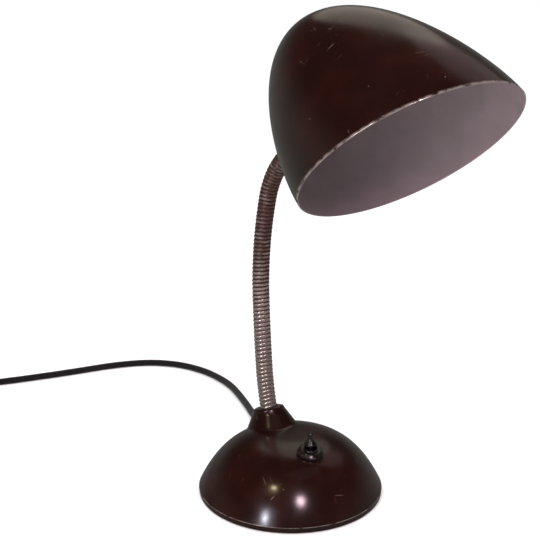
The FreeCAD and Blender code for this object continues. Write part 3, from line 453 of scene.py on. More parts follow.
def lacquer(finish):
    """Brown stoving lacquer sprayed on pressed steel and baked: deep and even with a soft gloss,
    slightly redder where it is thin, with a faint orange peel, fine hair scratches, pin chips,
    and bare steel along the edges that hands and cloths rub."""
    made, tree = begun("stoved_brown_lacquer")
    # Clouds 35 mm across: the thickness of the spray.
    cloud = ranged(tree, grain(tree, 0.035, 2), 0.35, 0.7)
    colour = blended(tree, cloud, finish.lacquer, finish.lacquer_thin)
    # Hair scratches, real ones 0.05 mm wide and 10 mm long, drawn 0.3 mm wide so that they show.
    lines = [ranged(tree, grain(tree, 1.0, 0, 0.5, [1 / s for s in sizes], warp=0.4), 0.80, 0.84)
             for sizes in ((0.00035, 0.012, 0.010), (0.011, 0.00035, 0.009))]
    # They lie in patches 25 mm across, where the lamp was handled.
    patch = ranged(tree, grain(tree, 0.025, 1), 0.56, 0.68)
    scratches = times(tree, maths(tree, "MAXIMUM", *lines), patch)
    # Pin chips 0.4 mm across, about 12 mm apart.
    place = add(tree, "TexCoord").outputs["Object"]
    chips = add(tree, "TexVoronoi", {"Vector": place, "Scale": 1 / 0.012, "Randomness": 1.0})
    chips = ranged(tree, chips.outputs["Distance"], 0.02, 0.045, 1.0, 0.0)
    # Wear comes in strokes 4 mm long.
    worn = times(tree, mark(tree, "worn"), ranged(tree, grain(tree, 0.004, 3), 0.30, 0.62))
    bare = maths(tree, "MAXIMUM", worn, times(tree, maths(tree, "MAXIMUM", scratches, chips), 0.22))
    # Orange peel 1.6 mm across and 8 micrometres high, and scratches sunk 12 micrometres.
    peel = maths(tree, "SUBTRACT", grain(tree, 0.0016, 1), times(tree, scratches, 1.5))
    # Smudges 18 mm across change the gloss.
    gloss = ranged(tree, grain(tree, 0.018, 4), 0.3, 0.75, 0.17, 0.25)
    return ended(made, Base_Color=blended(tree, bare, colour, finish.steel), IOR=1.5,
                 Metallic=times(tree, worn, 0.7), Roughness=gloss, Normal=bump(tree, peel, 0.000008))


def reflector_paint(finish):
    """Pale reflector paint sprayed inside the shade: matt, slightly uneven, a little dusty."""
    made, tree = begun("sprayed_reflector_paint")
    dust = ranged(tree, grain(tree, 0.03, 5, 0.6), 0.35, 0.75)
    dark = tuple(0.86 * c for c in finish.inside[:3]) + (1.0,)
    # Overspray grain 0.5 mm across, drawn coarser than the real 0.2 mm.
    return ended(made, Base_Color=blended(tree, dust, finish.inside, dark), IOR=1.5, Specular_IOR_Level=0.3,
                 Roughness=ranged(tree, grain(tree, 0.01, 2), 0.3, 0.7, 0.5, 0.62),
                 Normal=bump(tree, grain(tree, 0.0005, 2), 0.00002))


def hose(finish):
    """Round steel wire wound into a spiral hose and painted brown: the paint stays in the grooves,
    and the crown of each turn is rubbed through to bright steel, most of all near the base."""
    made, tree = begun("painted_spiral_hose")
    crown = mark(tree, "crown")
    # Rubbed patches 7 mm across, and streaks under 1 mm within them.
    fine = grain(tree, 0.0009, 3, 0.65)
    level = maths(tree, "ADD", times(tree, grain(tree, 0.007, 3), 0.5), times(tree, fine, 0.35))
    level = maths(tree, "ADD", level, times(tree, mark(tree, "worn"), 0.45))
    level = maths(tree, "ADD", level, times(tree, crown, 0.55))
    bare = ranged(tree, level, 0.92, 1.30)
    # The paint is drawn from #1a0e0c down in each groove to the hose paint on the crown: painted shade in
    # the grooves.
    paint = blended(tree, ranged(tree, crown, 0.0, 0.85), "#1a0e0c", finish.hose_paint)
    return ended(made, Base_Color=blended(tree, bare, paint, finish.steel), Metallic=times(tree, bare, 0.9),
                 Roughness=ranged(tree, bare, 0.0, 1.0, 0.40, 0.27), Normal=bump(tree, fine, 0.00003))


def bakelite(finish):
    """Black phenolic moulding, polished in its die: hard gloss, with a faint mottle of filler."""
    made, tree = begun("moulded_black_bakelite")
    mottle = ranged(tree, grain(tree, 0.004, 4), 0.4, 0.8)
    return ended(made, Base_Color=blended(tree, mottle, finish.bakelite, "#1c1310"), IOR=1.6,
                 Roughness=ranged(tree, grain(tree, 0.006, 3), 0.3, 0.7, 0.16, 0.30),
                 Normal=bump(tree, grain(tree, 0.0007, 2), 0.000006))


def braid(finish, cord):
    """Cotton braided over the cores: dark, matt and slightly fuzzy, in diamonds. Sixteen carriers,
    so eight diamonds go round. The real diamond is 1.3 mm long and is drawn twice as coarse."""
    made, tree = begun("braided_cotton")
    place = add(tree, "SeparateXYZ", {0: add(tree, "TexCoord").outputs["UV"]})
    along = times(tree, place.outputs[0], 1 / cord.braid)
    round_ = times(tree, place.outputs[1], 8.0)
    right, left = (maths(tree, "SINE", times(tree, maths(tree, way, along, round_), math.pi))
                   for way in ("ADD", "SUBTRACT"))
    crossed = times(tree, right, left)
    height = maths(tree, "ABSOLUTE", crossed)
    pick = maths(tree, "GREATER_THAN", crossed, 0.0)
    fleck = ranged(tree, grain(tree, 0.0015, 4, 0.7), 0.4, 0.7)
    # The raised crossings are drawn towards the lighter colour and the hollows between the threads stay
    # dark, a painted shade; the lighter picks are the weave's own two tones.
    share = times(tree, times(tree, height, 0.55), maths(tree, "ADD", fleck, 0.3))
    share = times(tree, share, maths(tree, "ADD", times(tree, pick, 0.5), 0.6))
    # Threads stand 0.25 mm high.
    fuzz = times(tree, grain(tree, 0.0004, 2, 0.7), 0.5)
    return ended(made, Base_Color=blended(tree, share, finish.cord, finish.cord_light), Roughness=0.85,
                 IOR=1.5, Specular_IOR_Level=0.2, Sheen_Weight=0.12, Sheen_Roughness=0.5,
                 Normal=bump(tree, maths(tree, "ADD", height, fuzz), 0.00025))


def metal(name, colour, dull, rough, lump):
    """A bare metal: colour varies to dull over lumps of that size, and its gloss varies too."""
    made, tree = begun(name)
    share = ranged(tree, grain(tree, lump, 4, 0.6), 0.35, 0.75)
    gloss = ranged(tree, grain(tree, lump / 2, 3), 0.3, 0.7, rough * 0.8, rough * 1.25)
    return ended(made, Base_Color=blended(tree, share, colour, dull), Metallic=1.0, Roughness=gloss,
                 Normal=bump(tree, grain(tree, lump / 8, 2), 0.00001))


def plain(name, colour, dull, rough, lump, height, ior=1.5, **more):
    """A solid material whose colour varies to dull over lumps, with a bump of height metres."""
    made, tree = begun(name)
    share = ranged(tree, grain(tree, lump, 4, 0.6), 0.35, 0.75)
    gloss = ranged(tree, grain(tree, lump, 2), 0.3, 0.7, rough * 0.85, min(1.0, rough * 1.15))
    return ended(made, Base_Color=blended(tree, share, colour, dull), IOR=ior, Roughness=gloss,
                 Normal=bump(tree, grain(tree, lump / 10, 3, 0.6), height), **more)


def glass():
    """Clear blown soda glass: thin, with faint waves from the blowing."""
    made, tree = begun("blown_clear_glass")
    return ended(made, Base_Color=linear("#f6f8f7"), IOR=1.52, Transmission_Weight=1.0, Roughness=0.02,
                 Normal=bump(tree, grain(tree, 0.012, 1), 0.00005))


def all_finishes(cord, finish):
    """Every material, by the record's slot name."""
    return {
        "brown_lacquer": lacquer(finish),
        "inside_paint": reflector_paint(finish),
        "neck_steel": hose(finish),
        "black_bakelite": bakelite(finish),
        "textile_cord": braid(finish, cord),
        # Sand-cast grey iron: dark, granular and dull, grit about 0.6 mm.
        "cast_iron": plain("sand_cast_iron", "#3a3836", "#262423", 0.6, 0.004, 0.00025, Metallic=0.6),
        # Zinc-plated steel: bluish white with soft cloudy patches.
        "zinc_steel": metal("zinc_plated_steel", "#b4b8bb", "#8d9296", 0.32, 0.006),
        # Steel tube dipped in the same brown paint as the hose.
        "brown_steel": plain("dipped_brown_steel", finish.hose_paint, finish.lacquer, 0.4, 0.006, 0.00003),
        # Nickel on turned brass: warm white metal.
        "nickel_brass": metal("nickel_plated_brass", "#c9c2b4", "#a79f90", 0.22, 0.004),
        # Bare brass, slightly tarnished.
        "brass": metal("turned_brass", "#c8a052", "#8f6c33", 0.3, 0.003),
        # Glazed porcelain: bright white under a clear glaze.
        "porcelain": plain("glazed_porcelain", "#e9e6df", "#dcd7cc", 0.12, 0.01, 0.00002, 1.55),
        # Pressed vulcanised fibre: matt red-brown board with flecks.
        "fibre": plain("pressed_red_fibre", "#6a2a1f", "#4a1d16", 0.7, 0.002, 0.00005),
        # Wool felt: dull, hairy, with lumps of fibre 3 mm across.
        "felt": plain("pressed_wool_felt", finish.felt, "#1f1c18", 0.95, 0.003, 0.0003,
                      Sheen_Weight=0.5, Specular_IOR_Level=0.1),
        # Moulded rubber: near black, soft shine, faint bloom.
        "black_rubber": plain("moulded_black_rubber", finish.rubber, "#262425", 0.55, 0.004, 0.00004, 1.52),
        # Waxed linen tape.
        "tie": plain("waxed_linen_tape", "#2b2725", "#161413", 0.7, 0.0012, 0.0001),
        "bulb_glass": glass(),
        # Drawn tungsten wire on a glass stem.
        "filament": metal("drawn_tungsten", "#8a8580", "#5f5b57", 0.4, 0.002),
    }


# ---- operators


class Step:
    """What the operators share: they make pieces from the scene's settings."""
    def execute(self, context):
        self.make(context.scene)
        return {"FINISHED"}


class LAMP_OT_materials(Step, bpy.types.Operator):
    """Makes the materials and gives them to the CAD nodes that are shown as they are"""
    bl_idname = "lamp.materials"
    bl_label = "Materials"

    def make(self, scene):
        FINISHES.update(all_finishes(scene.lamp_cord, scene.lamp_finish))
        slots = {part["node"]: part["material_slot"] for part in frame["record"]["subparts"]}
        for name, node in frame["nodes"].items():
            if slots.get(name) not in FINISHES:
                raise RuntimeError("no finish for CAD node " + name)
            node.data.materials.clear()
            node.data.materials.append(FINISHES[slots[name]])


class LAMP_OT_stage(Step, bpy.types.Operator):
    """Makes the camera, the pale floor and the soft studio light"""
    bl_idname = "lamp.stage"
    bl_label = "Camera, floor and light"

    def make(self, scene):
        camera(scene)
        floor(scene)
        lights(scene)


# Angles in degrees, distance and offsets of the camera in metres, and its lens in millimetres
CAMERA_SIDE, CAMERA_RISE, CAMERA_DISTANCE = -26.0, 16.2, 0.85
CAMERA_RIGHT, CAMERA_UP, CAMERA_LENS = -0.01667, 0.18755, 72.85
BOX_DISTANCE = 1.5


def camera(scene):
    """Long lens 0.85 m in front of the lamp, 26 degrees to its left and 16 above the table."""
    a, e = math.radians(CAMERA_SIDE), math.radians(CAMERA_RISE)
    back = np.array([math.sin(a) * math.cos(e), -math.cos(a) * math.cos(e), math.sin(e)])
    right = np.array([math.cos(a), math.sin(a), 0.0])
    up = np.cross(back, right)
    eye = back * CAMERA_DISTANCE + right * CAMERA_RIGHT + np.array([0, 0, CAMERA_UP])
    data = bpy.data.cameras.new("camera")
    data.sensor_width, data.lens = 36.0, CAMERA_LENS
    data.clip_start, data.clip_end = 0.01, 100.0
    made = bpy.data.objects.new("camera", data)
    scene.collection.objects.link(made)
    rows = np.stack([right, up, back, eye], 1).tolist()
    made.matrix_world = Matrix([*rows, [0, 0, 0, 1]])
    scene.camera = made


def floor(scene):
    """A flat sheet, 40 m square, at the height of the table."""
    mesh = bpy.data.meshes.new("floor")
    far = 20
    mesh.from_pydata([(-far, -far, 0), (far, -far, 0), (far, far, 0), (-far, far, 0)], [], [(0, 1, 2, 3)])
    mesh.materials.append(ended(begun("matt_studio_floor")[0], Base_Color=scene.lamp_finish.floor,
                                Roughness=0.9, Specular_IOR_Level=0.1))
    made = bpy.data.objects.new("floor", mesh)
    made.visible_glossy = False
    scene.collection.objects.link(made)


def lights(scene):
    """A dim room, broad suns that light the floor, and soft boxes that show in the lacquer."""
    world = bpy.data.worlds.new("studio")
    scene.world = world
    world.use_nodes = True
    tree = world.node_tree
    tree.nodes.clear()
    height = add(tree, "SeparateXYZ", {0: add(tree, "TexCoord").outputs["Generated"]}).outputs[2]
    strength = ranged(tree, height, 0.0, 0.5, 0.24, 0.03)
    sky = add(tree, "Background", {"Color": linear("#e6ece4"), "Strength": strength})
    add(tree, "OutputWorld", {"Surface": sky.outputs[0]})
    for name, way, spread, power, code in SUNS:
        lamp(scene, name, "SUN", way, way, power, code, angle=math.radians(spread)).visible_glossy = False
    for name, start, way, size, power, code in BOXES:
        place = np.array(start) + np.array(way) * BOX_DISTANCE
        lamp(scene, name, "AREA", place, way, power, code, shape="DISK", size=size)
    scene.view_settings.view_transform = "Standard"


def lamp(scene, name, kind, place, way, power, code, **values):
    """A light at a place, shining back along way."""
    data = bpy.data.lights.new(name, kind)
    data.energy, data.color = power, linear(code)[:3]
    for key, value in values.items():
        setattr(data, key, value)
    made = bpy.data.objects.new(name, data)
    scene.collection.objects.link(made)
    made.location = place
    made.rotation_euler = (math.atan2(math.hypot(way[0], way[1]), way[2]), 0, math.atan2(way[0], -way[1]))
    return made


# Name, way towards the light, width in degrees, power in watts a square metre and colour
SUNS = (
    ("overhead", (0.1, 0.05, 1.0), 100.0, 2.5, "#fcfdff"),
    ("key", (-0.45, -0.6, 0.8), 40.0, 1.2, "#fffaf6"),
    ("fill", (-0.75, -0.65, 0.12), 20.0, 0.3, "#ece8ff"),
)
# Name, place on the lamp in metres that it shows in, way from there, width in metres, watts, colour
BOXES = (
    ("narrow", (-0.037, -0.045, 0.030), (-0.496, -0.281, 0.821), 0.08, 1.5, "#ffeec0"),
    ("window", (-0.022, -0.061, 0.023), (-0.136, -0.722, 0.678), 0.24, 6.2, "#ffdce9"),
    ("low", (-0.049, -0.053, 0.011), (-0.767, -0.463, 0.444), 0.13, 4.5, "#f0eeff"),
    ("top", (0.020, -0.070, 0.380), (0.40, 0.72, 0.56), 1.0, 1.5, "#fff4e4"),
    ("right", (0.050, -0.150, 0.355), (0.66, 0.35, 0.66), 1.0, 0.9, "#ffe9ec"),
    ("strip", (-0.010, 0.050, 0.150), (-0.85, -0.50, 0.10), 0.30, 3.0, "#fff3ee"),
)


class LAMP_OT_base(Step, bpy.types.Operator):
    """Makes the domed base shell with its collar, and the switch's seat on it"""
    bl_idname = "lamp.base"
    bl_label = "Base"

    def make(self, scene):
        base = scene.lamp_base
        grid, worn = base_grid(base)
        piece("base_dome", grid, "base", "brown_lacquer", ["base_shell"], wrap=True, marks={"worn": worn})
        seat = softened([(0.0005, 0.0005), (0.011, 0.0005), (0.0113, -0.002), (0.0005, -0.002)], 0.0003)
        grid = placed(turned(seat, 96), switch_place(base, scene.lamp_switch))
        piece("switch_seat", grid, "base", "brown_lacquer", marks={"worn": 0.0})


# Radius of the hole in the collar that the neck's nipple stands in
BORE = 0.00815


def base_grid(base):
    """The shell as one closed surface, round the collar's axis. From the bore outwards: the
    collar's cone down to near the line where it meets the dome, found by halving; a cubic Bezier
    curve from the cone to the dome, tangent to both; straight lines in plan from there to the rim,
    at the dome's height; the band; and the same way back inside, a wall's thickness in."""
    columns = 256
    around = circle(columns)
    flat = np.stack([np.cos(around[0]), np.sin(around[0])], 1)
    place = collar_place(base)
    taper = (base.collar_foot - base.collar_top) / base.collar_depth

    def wall_at(depth):
        return placed(np.concatenate([(base.collar_top + taper * depth) * flat, -depth], 1), place)

    low, high = np.zeros((columns, 1)), np.full((columns, 1), base.collar_depth)
    for _ in range(40):
        depth = (low + high) / 2
        point = wall_at(depth)
        above = (point[:, 2] > dome_height(base, np.hypot(point[:, 0], point[:, 1])))[:, None]
        low, high = np.where(above, depth, low), np.where(above, high, depth)
    t = np.linspace(0, math.pi / 2, 8)
    arc = np.stack([base.collar_top + taper * base.collar_round - base.collar_round * (1 - np.sin(t)),
                    -base.collar_round * (1 - np.cos(t))], 1)
    collar = placed(turned([(BORE, -0.012), (BORE, -0.0004), (0.0086, 0), *arc], columns), place)
    end = depth - base.fillet
    span = end - base.collar_round
    steps = [wall_at(base.collar_round + span * share) for share in (0.3, 0.6, 0.9, 1.0)]
    collar = np.concatenate([collar, steps])
    meet = wall_at(depth)[:, :2]
    out = unit(meet - meet.mean(0))
    edge_in = meet + base.fillet * out
    radius = np.hypot(*edge_in.T)
    first = np.concatenate([edge_in, dome_height(base, radius)[:, None]], 1)
    rise = dome_slope(base, radius) * (-out * edge_in).sum(1) / radius
    inward = np.concatenate([-out, rise[:, None]], 1)
    wall = collar[-1]
    down = unit(wall - collar[-2])
    pull = 0.5 * np.linalg.norm(first - wall, axis=1, keepdims=True)
    t = np.linspace(0, 1, 12)[1:, None, None]
    flare = cubic(t, wall, wall + down * pull, first + inward * pull, first)
    rim = base.radius - 0.00025
    w = np.sin(np.linspace(0, math.pi / 2, 60)[1:, None, None])
    plan = edge_in * (1 - w) + rim * flat * w
    dome = np.concatenate([plan, dome_height(base, np.hypot(plan[..., 0], plan[..., 1]))[..., None]], 2)
    r, top, inside = base.radius, base.band, base.radius - base.wall
    band = softened([(rim, dome[-1, 0, 2]), (r, top), (r, top - 0.0005), (rim - 0.0001, top - 0.001),
                     (rim - 0.0001, 0.0008), (inside, 0.0008), (inside, top - 0.001)], 0.0003)
    band = turned(band[1:], columns)
    inner = np.concatenate([first[None], dome])[::-1].copy()
    inner[..., 2] -= base.wall
    inner[..., :2] *= (base.radius - base.wall - 0.0002) / base.radius
    root = placed(turned([(0.0136, -0.0170), (BORE, -0.0170)], columns), place)
    grid = np.concatenate([collar, flare, dome, band, inner[1:], root])
    worn = np.zeros(grid.shape[:2])
    line = len(collar) + len(flare) + len(dome)
    # A faint lighter line along the band's top edge: partly rubbed lacquer, partly a painted highlight of
    # that edge.
    worn[line:line + 3] = 0.35
    return grid, worn


class LAMP_OT_shade(Step, bpy.types.Operator):
    """Makes the shade: lacquered outside with a worn rim, pale paint inside"""
    bl_idname = "lamp.shade"
    bl_label = "Shade"

    def make(self, scene):
        shade = scene.lamp_shade
        place = shade_place(scene.lamp_base, scene.lamp_neck, shade)
        around = circle(224)
        half = shade.wall / 2
        swing = np.linspace(math.pi / 2 - 0.004, 0.012, 110)
        lip = np.linspace(0, math.pi / 2, 6)
        outer, middle, inner = (shade_wall(shade, k * half, swing, around) for k in range(3))
        edge = turned(np.stack([shade.radius - half * (1 - np.cos(lip)), half * (1 - np.sin(lip))], 1), 224)
        back = turned(np.stack([shade.radius - half * (1 + np.sin(lip)), half * (1 - np.cos(lip))], 1), 224)
        grid = np.concatenate([outer, edge, middle[::-1]])
        worn = np.zeros((len(grid), 1))
        last = len(outer)
        worn[last:last + len(edge)] = 1.0
        worn[last - 2:last] = 0.35
        piece("shade_outside", placed(grid, place), "head", "brown_lacquer", ["shade"], marks={"worn": worn})
        grid = np.concatenate([middle, back, inner[::-1]])
        piece("shade_inside", placed(grid, place), "head", "inside_paint", ["shade"], named=False)


class LAMP_OT_neck(Step, bpy.types.Operator):
    """Makes the spiral hose in lengths: the first rides on the base, the last on the head, and the ones
    between stay where they are made
    """
    bl_idname = "lamp.neck"
    bl_label = "Neck"

    def make(self, scene):
        base, neck = scene.lamp_base, scene.lamp_neck
        bodies = ["base"] + ["neck_link_%02d" % k for k in range(2, 12)] + ["head"]
        count = len(bodies)
        part = neck.length / count
        for k in range(count + 1):
            start = (k - 0.5) * part if k else -0.009
            end = (k + 0.5) * part if k < count else neck.length
            grid, normals, crown, worn = hose_grid(base, neck, start, end)
            made = grid_mesh("hose_%02d" % (k + 1), grid, marks={"crown": crown, "worn": worn},
                             normals=normals)
            nodes = sorted({"neck_segment_%02d" % (n + 1) for n in (k - 1, k) if 0 <= n < count})
            if 0 < k < count:
                dressed(made, None, "neck_steel", nodes)
                ends = neck_places(base, neck, np.array([start, end]))[0]
                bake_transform(made)
            else:
                dressed(made, "base" if k == 0 else "head", "neck_steel", nodes)


def hose_grid(base, neck, start, end):
    """A length of the hose. At distance s along it and angle f round it, the phase is
    s / pitch - f / turn, a right-handed spiral. With x running from -1 to 1 over one phase, the
    radius is R - depth * (1 - c) / (1 - c at x = 1), where c = sqrt(1 - (0.97 x) ** 2), so each
    turn is a round bead with a sharp groove on each side."""
    pitch = neck.length / neck.turns
    rows = int(round((end - start) / pitch * 12)) + 1
    columns = 48
    step = (end - start) / (rows - 1)
    s = start + step * np.arange(-1, rows + 1)
    origin, axes = neck_places(base, neck, s)
    around = circle(columns)
    phase = s[:, None] / pitch - around / TURN
    x = 2 * (phase - np.floor(phase)) - 1
    bead = (1 - np.sqrt(1 - (0.97 * x) ** 2)) / (1 - math.sqrt(1 - 0.97 ** 2))
    radius = neck.radius - neck.groove * bead
    grid = (origin[:, None] + (radius * np.cos(around))[..., None] * axes[:, None, 0]
            + (radius * np.sin(around))[..., None] * axes[:, None, 1])
    along = np.gradient(grid, axis=0)
    across = (np.roll(grid, -1, 1) - np.roll(grid, 1, 1)) / 2
    normals = unit(np.cross(across, along))
    worn = np.clip(1.0 - s[:, None] / neck.length * 1.6, 0, 1) + 0 * around
    return grid[1:-1], normals[1:-1], (1 - bead)[1:-1], worn[1:-1]


class LAMP_OT_switch(Step, bpy.types.Operator):
    """Makes the knurled ring nut, the threaded bush and the lever"""
    bl_idname = "lamp.switch"
    bl_label = "Switch"

    def make(self, scene):
        switch = scene.lamp_switch
        place = switch_place(scene.lamp_base, switch)
        columns = switch.knurls * 8
        bottom, high = 0.0005, 0.0005 + switch.nut_height
        r = switch.nut_radius
        profile = softened([(switch.bush_radius, bottom), (r - 0.0006, bottom), (r, bottom + 0.0005),
                            (r, high - 0.0007), (r - 0.0008, high), (r - 0.0010, high),
                            (0.0082, high + 0.0012), (0.0076, high + 0.0016),
                            (switch.bush_radius, high + 0.0016)], 0.0002, 3)
        groove = 0.00075 * np.abs(np.sin(circle(columns) * switch.knurls / 2)) ** 0.7
        depth = np.clip((profile[:, :1] - (r - 0.0009)) / 0.0009, 0, 1)
        grid = turned(profile, columns, depth * (groove - 0.00075))
        piece("ring_nut", placed(grid, place), "base", "black_bakelite", ["switch_ring_nut"], 40, wrap=True)
        b, top = switch.bush_radius, switch.bush_top
        rings = [(b - 0.0001 - 0.00028 * (k % 2), high + 0.0012 + 0.00035 * k) for k in range(6)]
        profile = [(0.0046, -0.004), (b, -0.004), (b, high + 0.001), *rings, (b, top - 0.0003),
                   (b - 0.0003, top), (0.0048, top), (0.0046, top - 0.0003)]
        grid = placed(turned(softened(profile, 0.00015, 3), 96), place)
        piece("switch_bush", grid, "base", "black_bakelite", ["switch_bushing"], 40, wrap=True)
        lean = leaned((0, 0, 0.002), switch.throw)
        grid = placed(turned(lever_profile(switch), 64) - np.array([0, 0, 0.002]), lean)
        piece("lever", placed(grid, place), "lever", "black_bakelite", ["switch_lever"])


def lever_profile(switch):
    """Tail, ball, neck, skirt and stem of the lever, with a domed tip."""
    t = np.linspace(0, math.pi / 2, 9)
    r = switch.lever_radius
    tip = [(r * math.cos(a) + 1e-5, switch.lever_top - r * 0.8 + r * 0.8 * math.sin(a)) for a in t]
    ball = [(0.0034 * math.cos(a), 0.002 + 0.0034 * math.sin(a)) for a in np.linspace(-1.1, 0.8, 14)]
    return np.array([(0.0002, -0.011), (0.0013, -0.0108), (0.0013, -0.0012), *ball, (r, 0.0052), (r, 0.0089),
                     (0.0049, 0.0091), (0.0052, 0.0095), (0.0051, 0.0100), (0.0042, 0.0110),
                     (0.0032, 0.0122), (0.0026, 0.0134), (r + 0.0001, 0.0146), (r, 0.0155), *tip])


class LAMP_OT_cord(Step, bpy.types.Operator):
    """Makes the mains cord with its coil, its strain relief and its plug"""
    bl_idname = "lamp.cord"
    bl_label = "Cord and plug"

    def make(self, scene):
        cord = scene.lamp_cord
        plug = plug_piece(cord)
        sleeve_piece(cord)
        line = cord_line(cord)
        made = cord_tube(cord, line)
        dressed(made, "base", "textile_cord", ["mains_cord", "mains_cord_coil", "mains_cord_tail"])


# The cord's route from the strain relief to the coil, and from the coil to the plug, in metres
ON_TABLE = 0.0032
CORD_ROUTE = (
    (0.022545, 0.095372, 0.010), (0.025766, 0.108996, 0.010), (0.030, 0.1275, 0.0056),
    *((x, y, ON_TABLE) for x, y in (
        (0.034, 0.146), (0.038, 0.168), (0.0415, 0.193), (0.044, 0.219), (0.041, 0.245), (0.034, 0.270),
        (0.018, 0.297), (-0.009, 0.317), (-0.046, 0.325), (-0.088, 0.325), (-0.130, 0.327),
        (-0.172, 0.331), (-0.204, 0.337))))
TAIL_ROUTE = ((-0.252, 0.286, 0.0096), (-0.255, 0.268, 0.013), (-0.258, 0.250, 0.017),
              (-0.258, 0.236, 0.017))
COIL_CENTRE = (-0.220, 0.300)


def eased(share):
    return share * share * (3 - 2 * share)


def coil_points(cord):
    """Two layers of three turns, 14 points a turn. Each turn keeps its radius for most of its way
    and moves over by one cord within the last part of it, so that it lies beside the turn before."""
    steps = 14
    turns = 6
    outer, inner = cord.coil_outer, cord.coil_inner
    middle = (outer + inner) / 2
    radii = np.array([outer, middle, inner, inner, middle, outer, middle + 0.002])
    k = np.arange(1, steps * turns + 4)
    turn = k / steps
    whole = np.minimum(np.floor(turn).astype(int), turns - 1)
    share = np.clip((turn - whole - 0.62) / 0.38, 0, 1)
    share = eased(share)
    radius = radii[whole] * (1 - share) + radii[whole + 1] * share
    around = math.pi / 2 + TURN * turn
    rise = np.clip((turn - 2.62) / 0.38, 0, 1)
    rise = eased(rise)
    radius = radius - 0.003 * np.sin(math.pi * rise)
    height = cord.radius * (1 + 2 * rise)
    return np.stack([COIL_CENTRE[0] + radius * np.cos(around), COIL_CENTRE[1] + radius * np.sin(around),
                     height], 1)


def cord_line(cord):
    """Points of one smooth NURBS spline along the whole route, read from a curve with no bevel."""
    control = np.concatenate([np.array(CORD_ROUTE), coil_points(cord), np.array(TAIL_ROUTE)])
    curve = bpy.data.curves.new("cord_route", "CURVE")
    curve.dimensions = "3D"
    curve.resolution_u = 16
    spline = curve.splines.new("NURBS")
    spline.points.add(len(control) - 1)
    spline.points.foreach_set("co", np.concatenate([control, np.ones((len(control), 1))], 1).ravel())
    spline.order_u = 3
    spline.use_endpoint_u = True
    carrier = bpy.data.objects.new("cord_route", curve)
    bpy.context.scene.collection.objects.link(carrier)
    bpy.context.view_layer.update()
    mesh = bpy.data.meshes.new_from_object(carrier.evaluated_get(bpy.context.evaluated_depsgraph_get()))
    points = np.zeros(len(mesh.vertices) * 3)
    mesh.vertices.foreach_get("co", points)
    bpy.data.objects.remove(carrier)
    bpy.data.curves.remove(curve)
    bpy.data.meshes.remove(mesh)
    return points.reshape(-1, 3)


def cord_tube(cord, line):
    """A round tube along the line. Its side axis at each point is square to the line and kept
    level, cross(z, way), which never fails here because the cord never stands upright."""
    way = unit(np.gradient(line, axis=0))
    side = unit(np.cross([0, 0, 1.0], way))
    top = np.cross(way, side)
    around = circle(16)[..., None]
    grid = line[:, None] + cord.radius * (np.cos(around) * side[:, None] + np.sin(around) * top[:, None])
    step = np.linalg.norm(np.diff(line, axis=0), axis=1)
    return grid_mesh("mains_cord_braid", grid, rows_at=np.concatenate([[0], np.cumsum(step)]))


def sleeve_piece(cord):
    """The tapered rubber sleeve on the cord's exit: a cone with seven shallow ring grooves."""
    profile = [(0.0033, 0.061), (0.0067, 0.061), (0.0068, 0.0634), (0.006, 0.0635), (0.006, 0.077)]
    for k in range(7):
        y = 0.0785 + 0.0026 * k
        r = 0.006 - (y - 0.077) / 0.021 * 0.0017
        profile += [(r, y), (r - 0.0005, y + 0.0003), (r - 0.0006, y + 0.0010), (r - 0.0001, y + 0.0013)]
    profile += [(0.0043, 0.0978), (0.0033, 0.098)]
    origin, axes = leaned((0, 0, 0.010), math.pi / 2)
    axes = spun(axes, np.zeros(3), np.array([0, 0, 1.0]), -cord.exit_turn)
    grid = placed(turned(softened(profile, 0.0002, 3), 48), (origin, axes))
    return piece("cord_sleeve", grid, "base", "black_rubber", ["cord_bushing"], wrap=True)


def plug_piece(cord):
    """The round plug: a snout, a rounded body with 24 finger flutes on its shoulder, a flat face."""
    end = cord.plug_snout + cord.plug_length
    r = cord.plug_radius
    profile = softened([(0.0033, 0.0), (0.0052, 0.0), (0.0066, 0.004), (0.0102, cord.plug_snout - 0.001),
                        (r - 0.0008, cord.plug_snout + 0.002), (r, cord.plug_snout + 0.005),
                        (r, end - 0.001), (r - 0.001, end), (0.0003, end)], 0.0016, 6)
    columns = 192
    z = profile[:, 1:]
    inside = np.clip((z - cord.plug_snout - 0.004) / 0.003, 0, 1) * np.clip((end - 0.008 - z) / 0.003, 0, 1)
    flute = -0.0007 * np.abs(np.sin(circle(columns) * 12)) ** 2
    grid = turned(profile, columns, inside * flute)
    start = np.array(TAIL_ROUTE[-1])
    axes = np.array([[1, 0, 0], [0, 0, 1], [0, -1, 0]])
    return piece("plug", placed(grid, (start, axes)), "base", "black_bakelite", ["plug_body"])


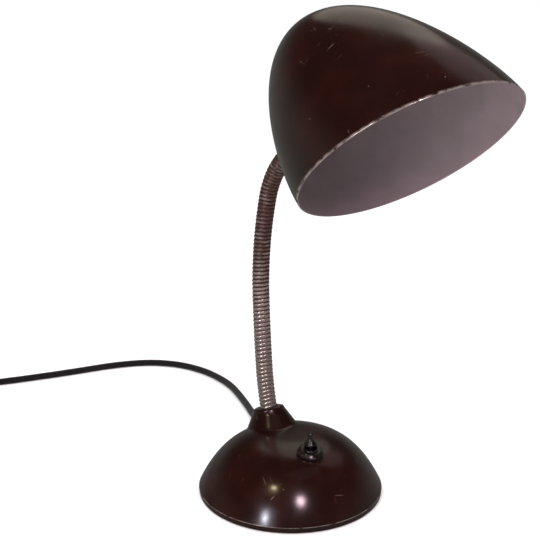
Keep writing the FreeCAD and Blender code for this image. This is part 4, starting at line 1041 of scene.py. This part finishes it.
class LAMP_OT_bulb(Step, bpy.types.Operator):
    """Makes the bulb's glass"""
    bl_idname = "lamp.bulb"
    bl_label = "Bulb"

    def make(self, scene):
        grid = turned(np.concatenate([bulb_profile(0.0), bulb_profile(0.0008)[::-1]]), 96)
        made = grid_mesh("bulb", placed(grid, head_place(scene.lamp_base, scene.lamp_neck)), wrap=True)
        dressed(made, "head", "bulb_glass", ["bulb_glass"])


def bulb_profile(shrink):
    """Neck of the glass, a cubic Bezier curve out to the ball, and the ball to its tip."""
    low, ball, middle = 0.0564, 0.015 - shrink, 0.0744
    start = math.radians(-40)
    join = np.array([ball * math.cos(start), middle + ball * math.sin(start)])
    first = np.array([0.0068 - shrink, low + shrink])
    t = np.linspace(0, 1, 14)[:, None]
    pull = np.array([[0.0, 0.003]])
    side = np.array([[math.sin(start), -math.cos(start)]]) * 0.003
    neck = cubic(t, first, first + pull, join + side, join)
    a = np.linspace(start, math.pi / 2 - 0.01, 40)[1:]
    return np.concatenate([neck, np.stack([ball * np.cos(a), middle + ball * np.sin(a)], 1)])


class LAMP_PT_panel(bpy.types.Panel):
    """Lists the steps that make the lamp"""
    bl_idname = "LAMP_PT_panel"
    bl_label = "Desk lamp"
    bl_space_type = "VIEW_3D"
    bl_region_type = "UI"
    bl_category = "Desk lamp"

    def draw(self, context):
        for step in STEPS:
            self.layout.operator(step.bl_idname)


STEPS = (LAMP_OT_materials, LAMP_OT_stage, LAMP_OT_cord, LAMP_OT_base, LAMP_OT_neck, LAMP_OT_shade,
         LAMP_OT_switch, LAMP_OT_bulb)


def register():
    for kind in (*GROUPS.values(), *STEPS, LAMP_PT_panel):
        bpy.utils.register_class(kind)
    for name, kind in GROUPS.items():
        setattr(bpy.types.Scene, name, bpy.props.PointerProperty(type=kind))


def unregister():
    for name in GROUPS:
        delattr(bpy.types.Scene, name)
    for kind in reversed((*GROUPS.values(), *STEPS, LAMP_PT_panel)):
        bpy.utils.unregister_class(kind)


def main():
    register()
    for step in STEPS:
        group, name = step.bl_idname.split(".")
        getattr(getattr(bpy.ops, group), name)()


if __name__ == "__main__":
    main()
